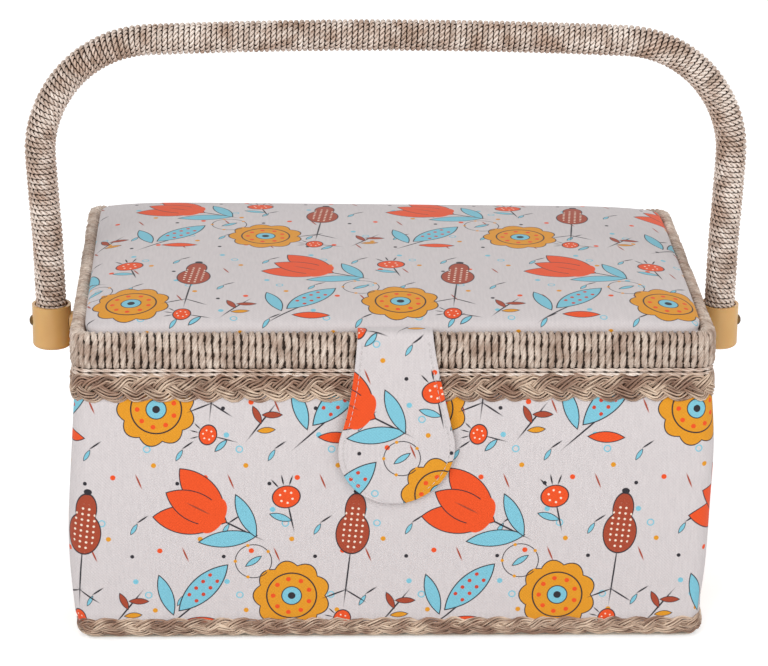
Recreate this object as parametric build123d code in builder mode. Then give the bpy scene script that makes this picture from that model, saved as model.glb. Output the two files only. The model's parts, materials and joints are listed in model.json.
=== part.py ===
"""Cloth-covered storage box with a padded hinged lid, a wrapped swing handle and a lift-out tray.

Millimetres. The origin is the centre of the underside, +X is to the right of the front face,
+Y goes to the back and +Z goes up.
"""

import math
import os

from build123d import *

os.makedirs("parts", exist_ok=True)

# Overall plan, measured over the trims of the box and the band of the lid
BOX_WIDTH = 300.0
BOX_DEPTH = 200.0
CORNER_RADIUS = 9.0
TIGHTEST_CORNER = 0.6

# Fits
FIT_GAP = 0.1
SOFT_GAP = 0.3
PIN_GAP = 0.05

# Box shell
RIM_HEIGHT = 136.0
WALL_THICKNESS = 4.0
COVER_THICKNESS = 1.0
LINING_THICKNESS = 0.8
BASE_SHEET_THICKNESS = 0.6
BASE_BOARD_THICKNESS = 4.0
FLOOR_PAD_THICKNESS = 1.6

# Plaited trims and the twisted cord pair
BRAID_THICKNESS = 1.5
BASE_BRAID_HEIGHT = 11.0
BASE_BRAID_TUCK = 3.5
RIM_BRAID_HEIGHT = 12.0
RIM_CORD_DIAMETER = 1.75
RIM_CORD_ROWS = 2

# Lid
LID_BAND_HEIGHT = 16.2
WRAP_THICKNESS = 1.4
FRAME_THICKNESS = 4.4
LID_BOARD_THICKNESS = 3.0
LID_BOARD_DEPTH = 9.5
LID_COVER_THICKNESS = 0.8
LID_LINING_THICKNESS = 1.2
PAD_RISE = 8.8
PAD_FLAT_SHARE = 0.28
PAD_STEPS = 8

# Shape of soft crowns: how the contours spread, how full the crown is and how sharp its shoulder
CROWN_SPREAD = 2.6
CROWN_FULLNESS = 2.5
CROWN_SHOULDER = 0.32
CROWN_ROUNDING = 0.6

# Pin cushion and pocket under the lid
CUSHION_WIDTH = 86.0
CUSHION_DEPTH = 56.0
CUSHION_CORNER = 14.0
CUSHION_HEIGHT = 10.0
CUSHION_FLAT_INSET = 16.0
CUSHION_STEPS = 5
CUSHION_PLACE_X = -76.0
POCKET_WIDTH = 150.0
POCKET_DEPTH = 128.0
POCKET_CORNER = 6.0
POCKET_THICKNESS = 1.8
POCKET_PLACE_X = 58.0
ELASTIC_DIAMETER = 3.2

# Closing tab
TAB_ROOT_WIDTH = 34.6
TAB_WAIST_WIDTH = 42.8
TAB_WAIST_DROP = 28.0
TAB_BOWL_RADIUS = 27.2
TAB_DROP = 83.2
TAB_FLARE_ANGLE = 10.5
TAB_STANDOFF = 1.2
TAB_CLOTH_THICKNESS = 0.5
TAB_STIFFENER_THICKNESS = 1.0
TAB_TURNING = 1.6
TAB_ROOT_THICKNESS = 1.4

# Magnetic snap
SNAP_RADIUS = 7.0
SNAP_PLATE = 1.0
SNAP_STEM_RADIUS = 2.0
SNAP_BACKING_THICKNESS = 0.8
SNAP_RISE_IN_BOWL = -6.0

# Handle
HANDLE_SPACING = 328.0
HANDLE_RISE = 143.2
HANDLE_CROWN = 3.0
HANDLE_CORNER_RADIUS = 53.5
HANDLE_LEAN = 4.6
LEG_BEND_RISE = 8.8
LEG_BEND_RUN = 6.6
BOW_STRAIGHT = 1.0
CORE_RADIUS = 5.0
CORE_WALL = 1.2
CORD_DIAMETER = 2.3
WOUND_TURNS = 11
TURN_PITCH = 2.8

# Cuffs and pivots
PIVOT_DROP = 9.0
CUFF_RADIUS = 9.5
CUFF_BELOW_PIVOT = 13.0
CUFF_ABOVE_PIVOT = 8.5
CUFF_EDGE_RADIUS = 2.0
CORE_END_BELOW_PIVOT = 8.0
WRAP_START_ABOVE_PIVOT = 4.0
RIVET_RADIUS = 2.0
RIVET_HEAD_RADIUS = 2.8
RIVET_HEAD_RISE = 1.8
RIVET_TAIL_THICKNESS = 1.0
DOME_MIDDLE_ANGLE = math.radians(50)
SPACER_RADIUS = 4.5
WASHER_RADIUS = 5.0
WASHER_THICKNESS = 0.8

# Back hinges
HINGE_SPACING = 180.0
HINGE_LENGTH = 25.0
KNUCKLE_RADIUS = 2.0
HINGE_PIN_RADIUS = 0.9
HINGE_PIN_HEAD_RADIUS = 1.5
HINGE_PIN_HEAD_THICKNESS = 0.6
KNUCKLE_GAP = 0.2
LEAF_THICKNESS = 0.8
LEAF_REACH = 13.5
SCREW_RADIUS = 1.0
SCREW_HEAD_RADIUS = 1.9
SCREW_LENGTH = 5.5
SCREW_SPACING = 15.0
SCREW_RISE = 9.0

# Tray and its ledges
TRAY_WALL = 1.6
TRAY_HEIGHT = 28.0
TRAY_SIDE_GAP = 2.6
TRAY_CORNER = 8.0
TRAY_LEDGE_DROP = 40.0
TRAY_FRONT_SHARE = 0.36
TRAY_REAR_CELLS = 4
GRIP_WIDTH = 26.0
GRIP_DEPTH = 9.0
LEDGE_WIDTH = 6.0
LEDGE_HEIGHT = 8.0
LEDGE_LENGTH = 150.0

# Insets of each layer from the outside of the trims
cover_inset = BRAID_THICKNESS
board_inset = cover_inset + COVER_THICKNESS
lining_inset = board_inset + WALL_THICKNESS
inside_inset = lining_inset + LINING_THICKNESS
frame_inset = WRAP_THICKNESS
frame_inner_inset = frame_inset + FRAME_THICKNESS
panel_inset = frame_inner_inset + WRAP_THICKNESS
foot_inset = cover_inset + BASE_BRAID_TUCK

# Heights of each layer
base_board_top = BASE_SHEET_THICKNESS + BASE_BOARD_THICKNESS
floor_top = base_board_top + FLOOR_PAD_THICKNESS
rim_braid_top = RIM_HEIGHT - RIM_CORD_DIAMETER
rim_braid_low = rim_braid_top - RIM_BRAID_HEIGHT
cords_top = rim_braid_top + RIM_CORD_ROWS * RIM_CORD_DIAMETER
lid_low = cords_top + SOFT_GAP
lid_top = lid_low + LID_BAND_HEIGHT
lid_board_top = lid_low + LID_BOARD_DEPTH
lid_board_low = lid_board_top - LID_BOARD_THICKNESS
lid_lining_low = lid_board_low - LID_LINING_THICKNESS

# Places of the closing tab
tab_inner_y = -BOX_DEPTH / 2 - TAB_STANDOFF
tab_top = lid_top + TAB_ROOT_THICKNESS - SOFT_GAP
tab_bowl_centre = lid_top - TAB_DROP + TAB_BOWL_RADIUS
snap_height = tab_bowl_centre + SNAP_RISE_IN_BOWL

# Places of the handle and the pivots
pivot_height = RIM_HEIGHT - PIVOT_DROP
handle_top = pivot_height + HANDLE_RISE
leg_x = HANDLE_SPACING / 2
wrap_radius = CORE_RADIUS + CORD_DIAMETER
seat_reach = math.sqrt(CUFF_RADIUS**2 - (RIVET_HEAD_RADIUS + FIT_GAP) ** 2)
spacer_seat_reach = math.sqrt(CUFF_RADIUS**2 - (SPACER_RADIUS + SOFT_GAP) ** 2)
cuff_top = pivot_height + CUFF_ABOVE_PIVOT
cuff_low = pivot_height - CUFF_BELOW_PIVOT
wrap_start = pivot_height + WRAP_START_ABOVE_PIVOT
turns_start = wrap_start + (CORD_DIAMETER + TURN_PITCH) / 2
wound_top = turns_start + (WOUND_TURNS + 1) * TURN_PITCH
leg_bend_height = wound_top + LEG_BEND_RISE

# Places of the back hinges
hinge_y = BOX_DEPTH / 2 + KNUCKLE_RADIUS + SOFT_GAP
hinge_z = (cords_top + lid_low) / 2
hinge_places = (-HINGE_SPACING / 2, HINGE_SPACING / 2)
knuckle_length = (HINGE_LENGTH - 2 * KNUCKLE_GAP) / 3

# Places of the tray
ledge_top = RIM_HEIGHT - TRAY_LEDGE_DROP
tray_low = ledge_top + SOFT_GAP
tray_top = tray_low + TRAY_HEIGHT
tray_inset = inside_inset + TRAY_SIDE_GAP
tray_inner_width = BOX_WIDTH - 2 * tray_inset - 2 * TRAY_WALL
tray_inner_depth = BOX_DEPTH - 2 * tray_inset - 2 * TRAY_WALL
front_cell_depth = (tray_inner_depth - TRAY_WALL) * TRAY_FRONT_SHARE
rear_cell_depth = tray_inner_depth - TRAY_WALL - front_cell_depth
rear_cell_width = (tray_inner_width - (TRAY_REAR_CELLS - 1) * TRAY_WALL) / TRAY_REAR_CELLS


def save(piece, name):
    """Label a finished sub-part and write it to its own file."""
    piece.part.label = name
    export_step(piece.part, f"parts/{name}.step")


def plan(inset, mode=Mode.ADD):
    """Draw the rounded plan of the box, drawn in by inset from the outside of the trims."""
    radius = max(CORNER_RADIUS - inset, TIGHTEST_CORNER)
    RectangleRounded(BOX_WIDTH - 2 * inset, BOX_DEPTH - 2 * inset, radius, mode=mode)


def add_plan_block(inset, low, high, mode=Mode.ADD):
    """Add or cut a block with the plan of the box between two heights."""
    with BuildSketch(Plane.XY.offset(low)) as block_plan:
        plan(inset)
    extrude(block_plan.sketch, amount=high - low, mode=mode)


def add_plan_ring(outer_inset, inner_inset, low, high):
    """Add an upright wall that follows the plan of the box between two insets."""
    with BuildSketch(Plane.XY.offset(low)) as ring_plan:
        plan(outer_inset)
        plan(inner_inset, mode=Mode.SUBTRACT)
    extrude(ring_plan.sketch, amount=high - low)


def drill_pivots():
    """Cut the handle's pivot hole through both ends."""
    with Locations((0, 0, pivot_height)):
        Cylinder(RIVET_RADIUS + PIN_GAP, 2 * HANDLE_SPACING, rotation=(0, 90, 0), mode=Mode.SUBTRACT)


def drill_snap(radius, inner_y, outer_y):
    """Cut a round hole in the front wall for the magnetic snap, between two depths."""
    with BuildSketch(Plane.XZ.offset(-inner_y)) as hole:
        with Locations((0, snap_height)):
            Circle(radius)
    extrude(hole.sketch, amount=inner_y - outer_y, mode=Mode.SUBTRACT)


def screw_places(side):
    """List the places of the hinge screws, above the hinge axis for side 1 and below it for side -1."""
    offsets = (-SCREW_SPACING / 2, SCREW_SPACING / 2)
    height = hinge_z + side * SCREW_RISE
    return [(x + offset, BOX_DEPTH / 2, height) for x in hinge_places for offset in offsets]


def drill_screws(side):
    """Cut the holes of the hinge screws in what lies behind a leaf."""
    with Locations(*screw_places(side)):
        Cylinder(SCREW_RADIUS, 2 * SCREW_LENGTH, rotation=(90, 0, 0), mode=Mode.SUBTRACT)


def crown_profile(steps):
    """List shares of the way in to the flat crown with the shares of the rise, from the side up."""
    shares = [(step / steps) ** CROWN_SPREAD for step in range(steps + 1)]
    return [(share, (1 - (1 - share) ** CROWN_FULLNESS) ** CROWN_SHOULDER) for share in shares]


def add_dome(stations, x=0.0):
    """Loft a soft crowned solid through rounded plans, each given as width, depth, corner and height."""
    sections = []
    for width, depth, corner, height in stations:
        with BuildSketch(Plane.XY.offset(height)) as section:
            with Locations((x, 0)):
                RectangleRounded(width, depth, corner)
        sections.append(section.sketch)
    loft(sections, ruled=True)


# Shell of the box
with BuildPart() as base_sheet:
    add_plan_block(foot_inset, 0, BASE_SHEET_THICKNESS)
save(base_sheet, "base_sheet")

with BuildPart() as base_board:
    add_plan_block(foot_inset, BASE_SHEET_THICKNESS, base_board_top)
save(base_board, "base_board")

with BuildPart() as wall_board:
    add_plan_ring(board_inset, lining_inset, base_board_top, RIM_HEIGHT)
    drill_pivots()
    drill_screws(-1)
    board_face = -BOX_DEPTH / 2 + board_inset
    board_back = -BOX_DEPTH / 2 + lining_inset
    drill_snap(SNAP_STEM_RADIUS + PIN_GAP, board_back, board_face)
    drill_snap(SNAP_RADIUS + FIT_GAP, board_back, board_back - SNAP_BACKING_THICKNESS)
save(wall_board, "wall_board")

with BuildPart() as outer_cover:
    add_plan_ring(cover_inset, board_inset, base_board_top, rim_braid_top)
    drill_pivots()
    drill_screws(-1)
    drill_snap(SNAP_RADIUS + FIT_GAP, board_face, board_face - COVER_THICKNESS)
save(outer_cover, "outer_cover")

with BuildPart() as inner_lining:
    add_plan_ring(lining_inset, inside_inset, base_board_top, RIM_HEIGHT)
    add_plan_ring(board_inset, inside_inset, RIM_HEIGHT, RIM_HEIGHT + LINING_THICKNESS)
    drill_pivots()
save(inner_lining, "inner_lining")

with BuildPart() as floor_pad:
    add_plan_block(inside_inset + FIT_GAP, base_board_top, floor_top)
save(floor_pad, "floor_pad")

# Plaited trims
with BuildPart() as base_braid:
    add_plan_block(0, 0, BASE_BRAID_HEIGHT)
    bottom_edges = base_braid.faces().sort_by(Axis.Z)[0].edges()
    fillet(bottom_edges, radius=min(BASE_BRAID_TUCK, BASE_BRAID_HEIGHT / 2))
    add_plan_block(foot_inset, 0, base_board_top, mode=Mode.SUBTRACT)
    add_plan_block(cover_inset, base_board_top, BASE_BRAID_HEIGHT, mode=Mode.SUBTRACT)
save(base_braid, "base_braid")

with BuildPart() as rim_braid:
    add_plan_ring(0, cover_inset, rim_braid_low, rim_braid_top)
    drill_pivots()
    drill_screws(-1)
save(rim_braid, "rim_braid")

# Twisted cord pair that lies on the plait, outside the top of the wall
cord_inset = board_inset - RIM_CORD_DIAMETER / 2
for row, row_name in enumerate(("lower", "upper")):
    row_height = rim_braid_top + (row + 0.5) * RIM_CORD_DIAMETER
    with BuildSketch(Plane.XY.offset(row_height)) as cord_plan:
        plan(cord_inset)
    cord_line = cord_plan.sketch.wire()
    with BuildPart() as rim_cord:
        with BuildSketch(Plane(origin=cord_line @ 0, z_dir=cord_line % 0)):
            Circle(RIM_CORD_DIAMETER / 2)
        sweep(path=cord_line)
    save(rim_cord, f"rim_cord_{row_name}")

# Upholstered lid
with BuildPart() as lid_frame:
    add_plan_ring(frame_inset, frame_inner_inset, lid_low, lid_top - WRAP_THICKNESS)
    drill_screws(1)
save(lid_frame, "lid_frame")

with BuildPart() as lid_band_wrap:
    add_plan_ring(0, panel_inset, lid_low, lid_top)
    with BuildSketch(Plane.XY.offset(lid_low)):
        plan(frame_inset)
        plan(frame_inner_inset, mode=Mode.SUBTRACT)
    extrude(amount=LID_BAND_HEIGHT - WRAP_THICKNESS, mode=Mode.SUBTRACT)
    drill_screws(1)
save(lid_band_wrap, "lid_band_wrap")

lid_board_inset = panel_inset + FIT_GAP + LID_COVER_THICKNESS
with BuildPart() as lid_board:
    add_plan_block(lid_board_inset, lid_board_low, lid_board_top)
save(lid_board, "lid_board")


def pad_stations(shrink):
    """List the plans of the padded lid from its side up to its crown, drawn in by shrink."""
    side_inset = panel_inset + FIT_GAP + shrink
    side_top = lid_top - WRAP_THICKNESS - shrink
    stations = []
    for inward, rise in crown_profile(PAD_STEPS):
        inset = side_inset + inward * PAD_FLAT_SHARE * BOX_DEPTH
        side_corner = max(CORNER_RADIUS - side_inset, TIGHTEST_CORNER)
        corner = side_corner + CROWN_ROUNDING * (inset - side_inset)
        height = side_top + rise * (PAD_RISE + WRAP_THICKNESS)
        stations.append((BOX_WIDTH - 2 * inset, BOX_DEPTH - 2 * inset, corner, height))
    return stations


def add_pad(shrink, low):
    """Add the padded lid's crowned form with upright sides that start at a height."""
    stations = pad_stations(shrink)
    with BuildSketch(Plane.XY.offset(low)) as side_plan:
        RectangleRounded(*stations[0][:3])
    extrude(side_plan.sketch, amount=stations[0][3] - low)
    add_dome(stations)


with BuildPart() as lid_padding:
    add_pad(LID_COVER_THICKNESS, lid_board_top)
save(lid_padding, "lid_padding")

with BuildPart() as lid_cover:
    add_pad(0, lid_board_low)
    add(lid_padding.part, mode=Mode.SUBTRACT)
    add(lid_board.part, mode=Mode.SUBTRACT)
save(lid_cover, "lid_cover")

with BuildPart() as lid_lining:
    add_plan_block(panel_inset + FIT_GAP, lid_lining_low, lid_board_low)
save(lid_lining, "lid_lining")

# Pin cushion and gathered pocket under the lid
with BuildPart() as pin_cushion:
    cushion_stations = []
    for inward, rise in crown_profile(CUSHION_STEPS):
        drawn_in = inward * CUSHION_FLAT_INSET
        corner = CUSHION_CORNER - (1 - CROWN_ROUNDING) * drawn_in
        width, depth = CUSHION_WIDTH - 2 * drawn_in, CUSHION_DEPTH - 2 * drawn_in
        cushion_stations.append((width, depth, corner, lid_lining_low - rise * CUSHION_HEIGHT))
    add_dome(cushion_stations, CUSHION_PLACE_X)
save(pin_cushion, "pin_cushion")

with BuildPart() as lid_pocket:
    with BuildSketch(Plane.XY.offset(lid_lining_low)):
        with Locations((POCKET_PLACE_X, 0)):
            RectangleRounded(POCKET_WIDTH, POCKET_DEPTH, POCKET_CORNER)
    extrude(amount=-POCKET_THICKNESS)
save(lid_pocket, "lid_pocket")

with BuildPart() as pocket_elastic:
    elastic_y = -POCKET_DEPTH / 2 + POCKET_CORNER
    elastic_z = lid_lining_low - POCKET_THICKNESS - ELASTIC_DIAMETER / 2
    with Locations((POCKET_PLACE_X, elastic_y, elastic_z)):
        Cylinder(ELASTIC_DIAMETER / 2, POCKET_WIDTH - 2 * POCKET_CORNER, rotation=(0, 90, 0))
save(pocket_elastic, "pocket_elastic")


# Closing tab
def tab_outline(turning=0.0):
    """Draw the tab's bell shape, drawn in by its turning, on a plane that faces the front."""
    bowl = TAB_BOWL_RADIUS - turning
    flare = math.radians(TAB_FLARE_ANGLE)
    bowl_x = bowl * math.cos(flare)
    bowl_z = tab_bowl_centre + bowl * math.sin(flare)
    top_x = TAB_ROOT_WIDTH / 2 - turning
    waist_x = TAB_WAIST_WIDTH / 2 - turning
    waist_z = lid_top - TAB_WAIST_DROP
    top_z = tab_top - turning
    with BuildLine() as edge:
        ThreePointArc((top_x, top_z), (waist_x, waist_z), (bowl_x, bowl_z))
        ThreePointArc((bowl_x, bowl_z), (0, tab_bowl_centre - bowl), (-bowl_x, bowl_z))
        ThreePointArc((-bowl_x, bowl_z), (-waist_x, waist_z), (-top_x, top_z))
        Line((-top_x, top_z), (top_x, top_z))
    make_face(edge.edges())


back_cloth_face = -tab_inner_y
stiffener_face = back_cloth_face + TAB_CLOTH_THICKNESS
with BuildPart() as tab_back_cloth:
    with BuildSketch(Plane.XZ.offset(back_cloth_face)):
        tab_outline()
    extrude(amount=TAB_CLOTH_THICKNESS)
save(tab_back_cloth, "tab_back_cloth")

with BuildPart() as tab_stiffener:
    with BuildSketch(Plane.XZ.offset(stiffener_face)):
        tab_outline(TAB_TURNING)
    extrude(amount=TAB_STIFFENER_THICKNESS)
save(tab_stiffener, "tab_stiffener")

with BuildPart() as tab_front_cloth:
    with BuildSketch(Plane.XZ.offset(stiffener_face)):
        tab_outline()
    extrude(amount=TAB_STIFFENER_THICKNESS + TAB_CLOTH_THICKNESS)
    add(tab_stiffener.part, mode=Mode.SUBTRACT)
save(tab_front_cloth, "tab_front_cloth")

with BuildPart() as tab_root:
    root_front = -tab_inner_y - SOFT_GAP
    root_back = BOX_DEPTH / 2 - panel_inset
    with BuildSketch(Plane.XY.offset(lid_top)):
        with Locations((0, -(root_front + root_back) / 2)):
            Rectangle(TAB_ROOT_WIDTH, root_front - root_back)
    extrude(amount=TAB_ROOT_THICKNESS)
save(tab_root, "tab_root")

with BuildPart() as tab_snap:
    with BuildSketch(Plane.XZ.offset(back_cloth_face)):
        with Locations((0, snap_height)):
            Circle(SNAP_RADIUS)
    extrude(amount=-SNAP_PLATE)
save(tab_snap, "tab_snap")

with BuildPart() as snap_base:
    plate_face = -tab_inner_y - SNAP_PLATE - SOFT_GAP
    with BuildSketch(Plane.XZ.offset(-board_face)):
        with Locations((0, snap_height)):
            Circle(SNAP_RADIUS)
    extrude(amount=plate_face + board_face)
    with BuildSketch(Plane.XZ.offset(-board_back)):
        with Locations((0, snap_height)):
            Circle(SNAP_STEM_RADIUS)
    extrude(amount=WALL_THICKNESS)
save(snap_base, "snap_base")

with BuildPart() as snap_backing:
    with BuildSketch(Plane.XZ.offset(-board_back)):
        with Locations((0, snap_height)):
            Circle(SNAP_RADIUS)
            Circle(SNAP_STEM_RADIUS, mode=Mode.SUBTRACT)
    extrude(amount=SNAP_BACKING_THICKNESS)
save(snap_backing, "snap_backing")


# Handle
def handle_route(start_height):
    """Draw the line through the middle of the handle, up one leg, over the crowned bow and down."""
    corner_x = leg_x + HANDLE_LEAN
    crown_z = handle_top + HANDLE_CROWN
    corner_z = handle_top - HANDLE_CROWN * corner_x / (corner_x - HANDLE_CORNER_RADIUS)
    crown_slope = math.atan2(crown_z - corner_z, corner_x)
    leg_turn = math.atan2(HANDLE_LEAN, corner_z - leg_bend_height)
    corner_turn = math.pi / 2 + leg_turn - crown_slope
    corner_run = HANDLE_CORNER_RADIUS * math.tan(corner_turn / 2)
    crown_run = math.hypot(corner_x, crown_z - corner_z) - corner_run - BOW_STRAIGHT
    crown_radius = crown_run / math.tan(crown_slope)
    right_leg = ((leg_x, start_height), (leg_x, leg_bend_height), (corner_x, corner_z))
    left_leg = [(-x, z) for x, z in reversed(right_leg)]
    leg_radius = LEG_BEND_RUN / math.tan(leg_turn / 2)
    radii = (leg_radius, HANDLE_CORNER_RADIUS, crown_radius, HANDLE_CORNER_RADIUS, leg_radius)
    return FilletPolyline(*right_leg, (0, crown_z), *left_leg, radius=radii)


with BuildPart() as handle_core:
    core_start = pivot_height - CORE_END_BELOW_PIVOT
    with BuildLine(Plane.XZ):
        handle_route(core_start)
    with BuildSketch(Plane(origin=(leg_x, 0, core_start), z_dir=(0, 0, 1))):
        Circle(CORE_RADIUS)
        Circle(CORE_RADIUS - CORE_WALL, mode=Mode.SUBTRACT)
    sweep()
    drill_pivots()
save(handle_core, "handle_core")

with BuildPart() as handle_wrap:
    with BuildLine(Plane.XZ):
        handle_route(wound_top)
    with BuildSketch(Plane(origin=(leg_x, 0, wound_top), z_dir=(0, 0, 1))):
        Circle(wrap_radius)
        Circle(CORE_RADIUS, mode=Mode.SUBTRACT)
    sweep()
save(handle_wrap, "handle_wrap")


# Turns of cord above each cuff, wound as one tube from biarcs of a quarter turn
turn_radius = CORE_RADIUS + FIT_GAP + CORD_DIAMETER / 2
turn_rise = TURN_PITCH / (2 * math.pi)
QUARTERS_PER_TURN = 4
TURN_SAMPLES = 600


def turn_point(angle, x):
    """Give the middle of the cord at an angle along the winding, on the leg at x."""
    height = turns_start + turn_rise * angle
    return Vector(x + turn_radius * math.cos(angle), turn_radius * math.sin(angle), height)


def turn_direction(angle):
    """Give the cord's direction at an angle along the winding."""
    return Vector(-turn_radius * math.sin(angle), turn_radius * math.cos(angle), turn_rise).normalized()


def add_biarc(start, start_direction, end, end_direction):
    """Join two points with two tangent arcs that keep the directions at both ends."""
    chord = end - start
    both = start_direction + end_direction
    fall = 2 * (1 - start_direction.dot(end_direction))
    reach = (math.sqrt(chord.dot(both) ** 2 + fall * chord.dot(chord)) - chord.dot(both)) / fall
    middle = (start + end + (start_direction - end_direction) * reach) / 2
    TangentArc(start, middle, tangent=start_direction)
    join_direction = (middle - (start + start_direction * reach)).normalized()
    TangentArc(middle, end, tangent=join_direction)


def add_turns(x):
    """Draw the winding's line: straight for one cord diameter at each end, with its turns between."""
    quarters = WOUND_TURNS * QUARTERS_PER_TURN
    angles = [math.pi / 2 * quarter for quarter in range(quarters + 1)]
    first, last = turn_point(angles[0], x), turn_point(angles[-1], x)
    Line(first - turn_direction(angles[0]) * CORD_DIAMETER, first)
    for angle, following in zip(angles, angles[1:]):
        ends = turn_point(angle, x), turn_point(following, x)
        add_biarc(ends[0], turn_direction(angle), ends[1], turn_direction(following))
    Line(last, last + turn_direction(angles[-1]) * CORD_DIAMETER)


for side, side_name in ((-1, "left"), (1, "right")):
    winding_x = side * leg_x
    with BuildPart() as wrap_turns:
        with BuildLine() as winding:
            add_turns(winding_x)
        with BuildSketch(Plane(origin=winding.line @ 0, z_dir=winding.line % 0)):
            Circle(CORD_DIAMETER / 2)
        sweep()
    save(wrap_turns, f"wrap_turns_{side_name}")
    samples = [winding.line @ (step / TURN_SAMPLES) for step in range(TURN_SAMPLES + 1)]
    half_turn = TURN_SAMPLES // (2 * WOUND_TURNS)
    distances = [(a - b).length for at, a in enumerate(samples) for b in samples[at + half_turn:]]
    turn_gap = min(distances) - CORD_DIAMETER
    print(f"winding {side_name}: {WOUND_TURNS} turns, least gap to itself {turn_gap:.2f} mm")

# Cuffs, rivets, spacers and washers of the handle's pivots
for side, side_name in ((-1, "left"), (1, "right")):
    with BuildPart() as cuff:
        with BuildSketch(Plane(origin=(side * leg_x, 0, cuff_low))):
            Circle(CUFF_RADIUS)
        extrude(amount=cuff_top - cuff_low)
        fillet(cuff.faces().sort_by(Axis.Z)[0].edges(), radius=CUFF_EDGE_RADIUS)
        socket_low = pivot_height - CORE_END_BELOW_PIVOT
        with BuildSketch(Plane(origin=(side * leg_x, 0, socket_low))):
            Circle(CORE_RADIUS + PIN_GAP)
        extrude(amount=cuff_top - socket_low, mode=Mode.SUBTRACT)
        with BuildSketch(Plane(origin=(side * leg_x, 0, wrap_start))):
            Circle(math.hypot(turn_radius, CORD_DIAMETER) + CORD_DIAMETER / 2 + SOFT_GAP)
        extrude(amount=cuff_top - wrap_start, mode=Mode.SUBTRACT)
        drill_pivots()
        # Flat round seats for the rivet's head outside and the spacer inside
        head_seat = side * (leg_x + seat_reach)
        with BuildSketch(Plane(origin=(head_seat, 0, pivot_height), z_dir=(side, 0, 0))):
            Circle(RIVET_HEAD_RADIUS + FIT_GAP)
        extrude(amount=CUFF_RADIUS, mode=Mode.SUBTRACT)
        spacer_seat = side * (leg_x - spacer_seat_reach)
        with BuildSketch(Plane(origin=(spacer_seat, 0, pivot_height), z_dir=(-side, 0, 0))):
            Circle(SPACER_RADIUS + SOFT_GAP)
        extrude(amount=CUFF_RADIUS, mode=Mode.SUBTRACT)
    save(cuff, f"cuff_{side_name}")

    inside_x = BOX_WIDTH / 2 - inside_inset
    washer_x = inside_x - WASHER_THICKNESS
    tail_x = washer_x - RIVET_TAIL_THICKNESS
    head_x = leg_x + seat_reach + PIN_GAP
    with BuildPart() as pivot_rivet:
        with BuildSketch(Plane.XZ):
            with BuildLine():
                Polyline(
                    (side * head_x, pivot_height + RIVET_HEAD_RADIUS),
                    (side * head_x, pivot_height + RIVET_RADIUS),
                    (side * washer_x, pivot_height + RIVET_RADIUS),
                    (side * washer_x, pivot_height + RIVET_HEAD_RADIUS),
                    (side * tail_x, pivot_height + RIVET_HEAD_RADIUS),
                    (side * tail_x, pivot_height),
                    (side * (head_x + RIVET_HEAD_RISE), pivot_height),
                )
                dome_middle_x = side * (head_x + RIVET_HEAD_RISE * math.sin(DOME_MIDDLE_ANGLE))
                dome_middle_z = pivot_height + RIVET_HEAD_RADIUS * math.cos(DOME_MIDDLE_ANGLE)
                ThreePointArc(
                    (side * (head_x + RIVET_HEAD_RISE), pivot_height),
                    (dome_middle_x, dome_middle_z),
                    (side * head_x, pivot_height + RIVET_HEAD_RADIUS),
                )
            make_face()
        revolve(axis=Axis((0, 0, pivot_height), (1, 0, 0)))
    save(pivot_rivet, f"pivot_rivet_{side_name}")

    with BuildPart() as pivot_washer:
        with BuildSketch(Plane(origin=(side * washer_x, 0, pivot_height), z_dir=(side, 0, 0))):
            Circle(WASHER_RADIUS)
            Circle(RIVET_RADIUS + PIN_GAP, mode=Mode.SUBTRACT)
        extrude(amount=WASHER_THICKNESS)
    save(pivot_washer, f"pivot_washer_{side_name}")

    with BuildPart() as pivot_spacer:
        with BuildSketch(Plane(origin=(side * BOX_WIDTH / 2, 0, pivot_height), z_dir=(side, 0, 0))):
            Circle(SPACER_RADIUS)
            Circle(RIVET_RADIUS + PIN_GAP, mode=Mode.SUBTRACT)
        extrude(amount=leg_x - spacer_seat_reach - SOFT_GAP - BOX_WIDTH / 2)
    save(pivot_spacer, f"pivot_spacer_{side_name}")

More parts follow.
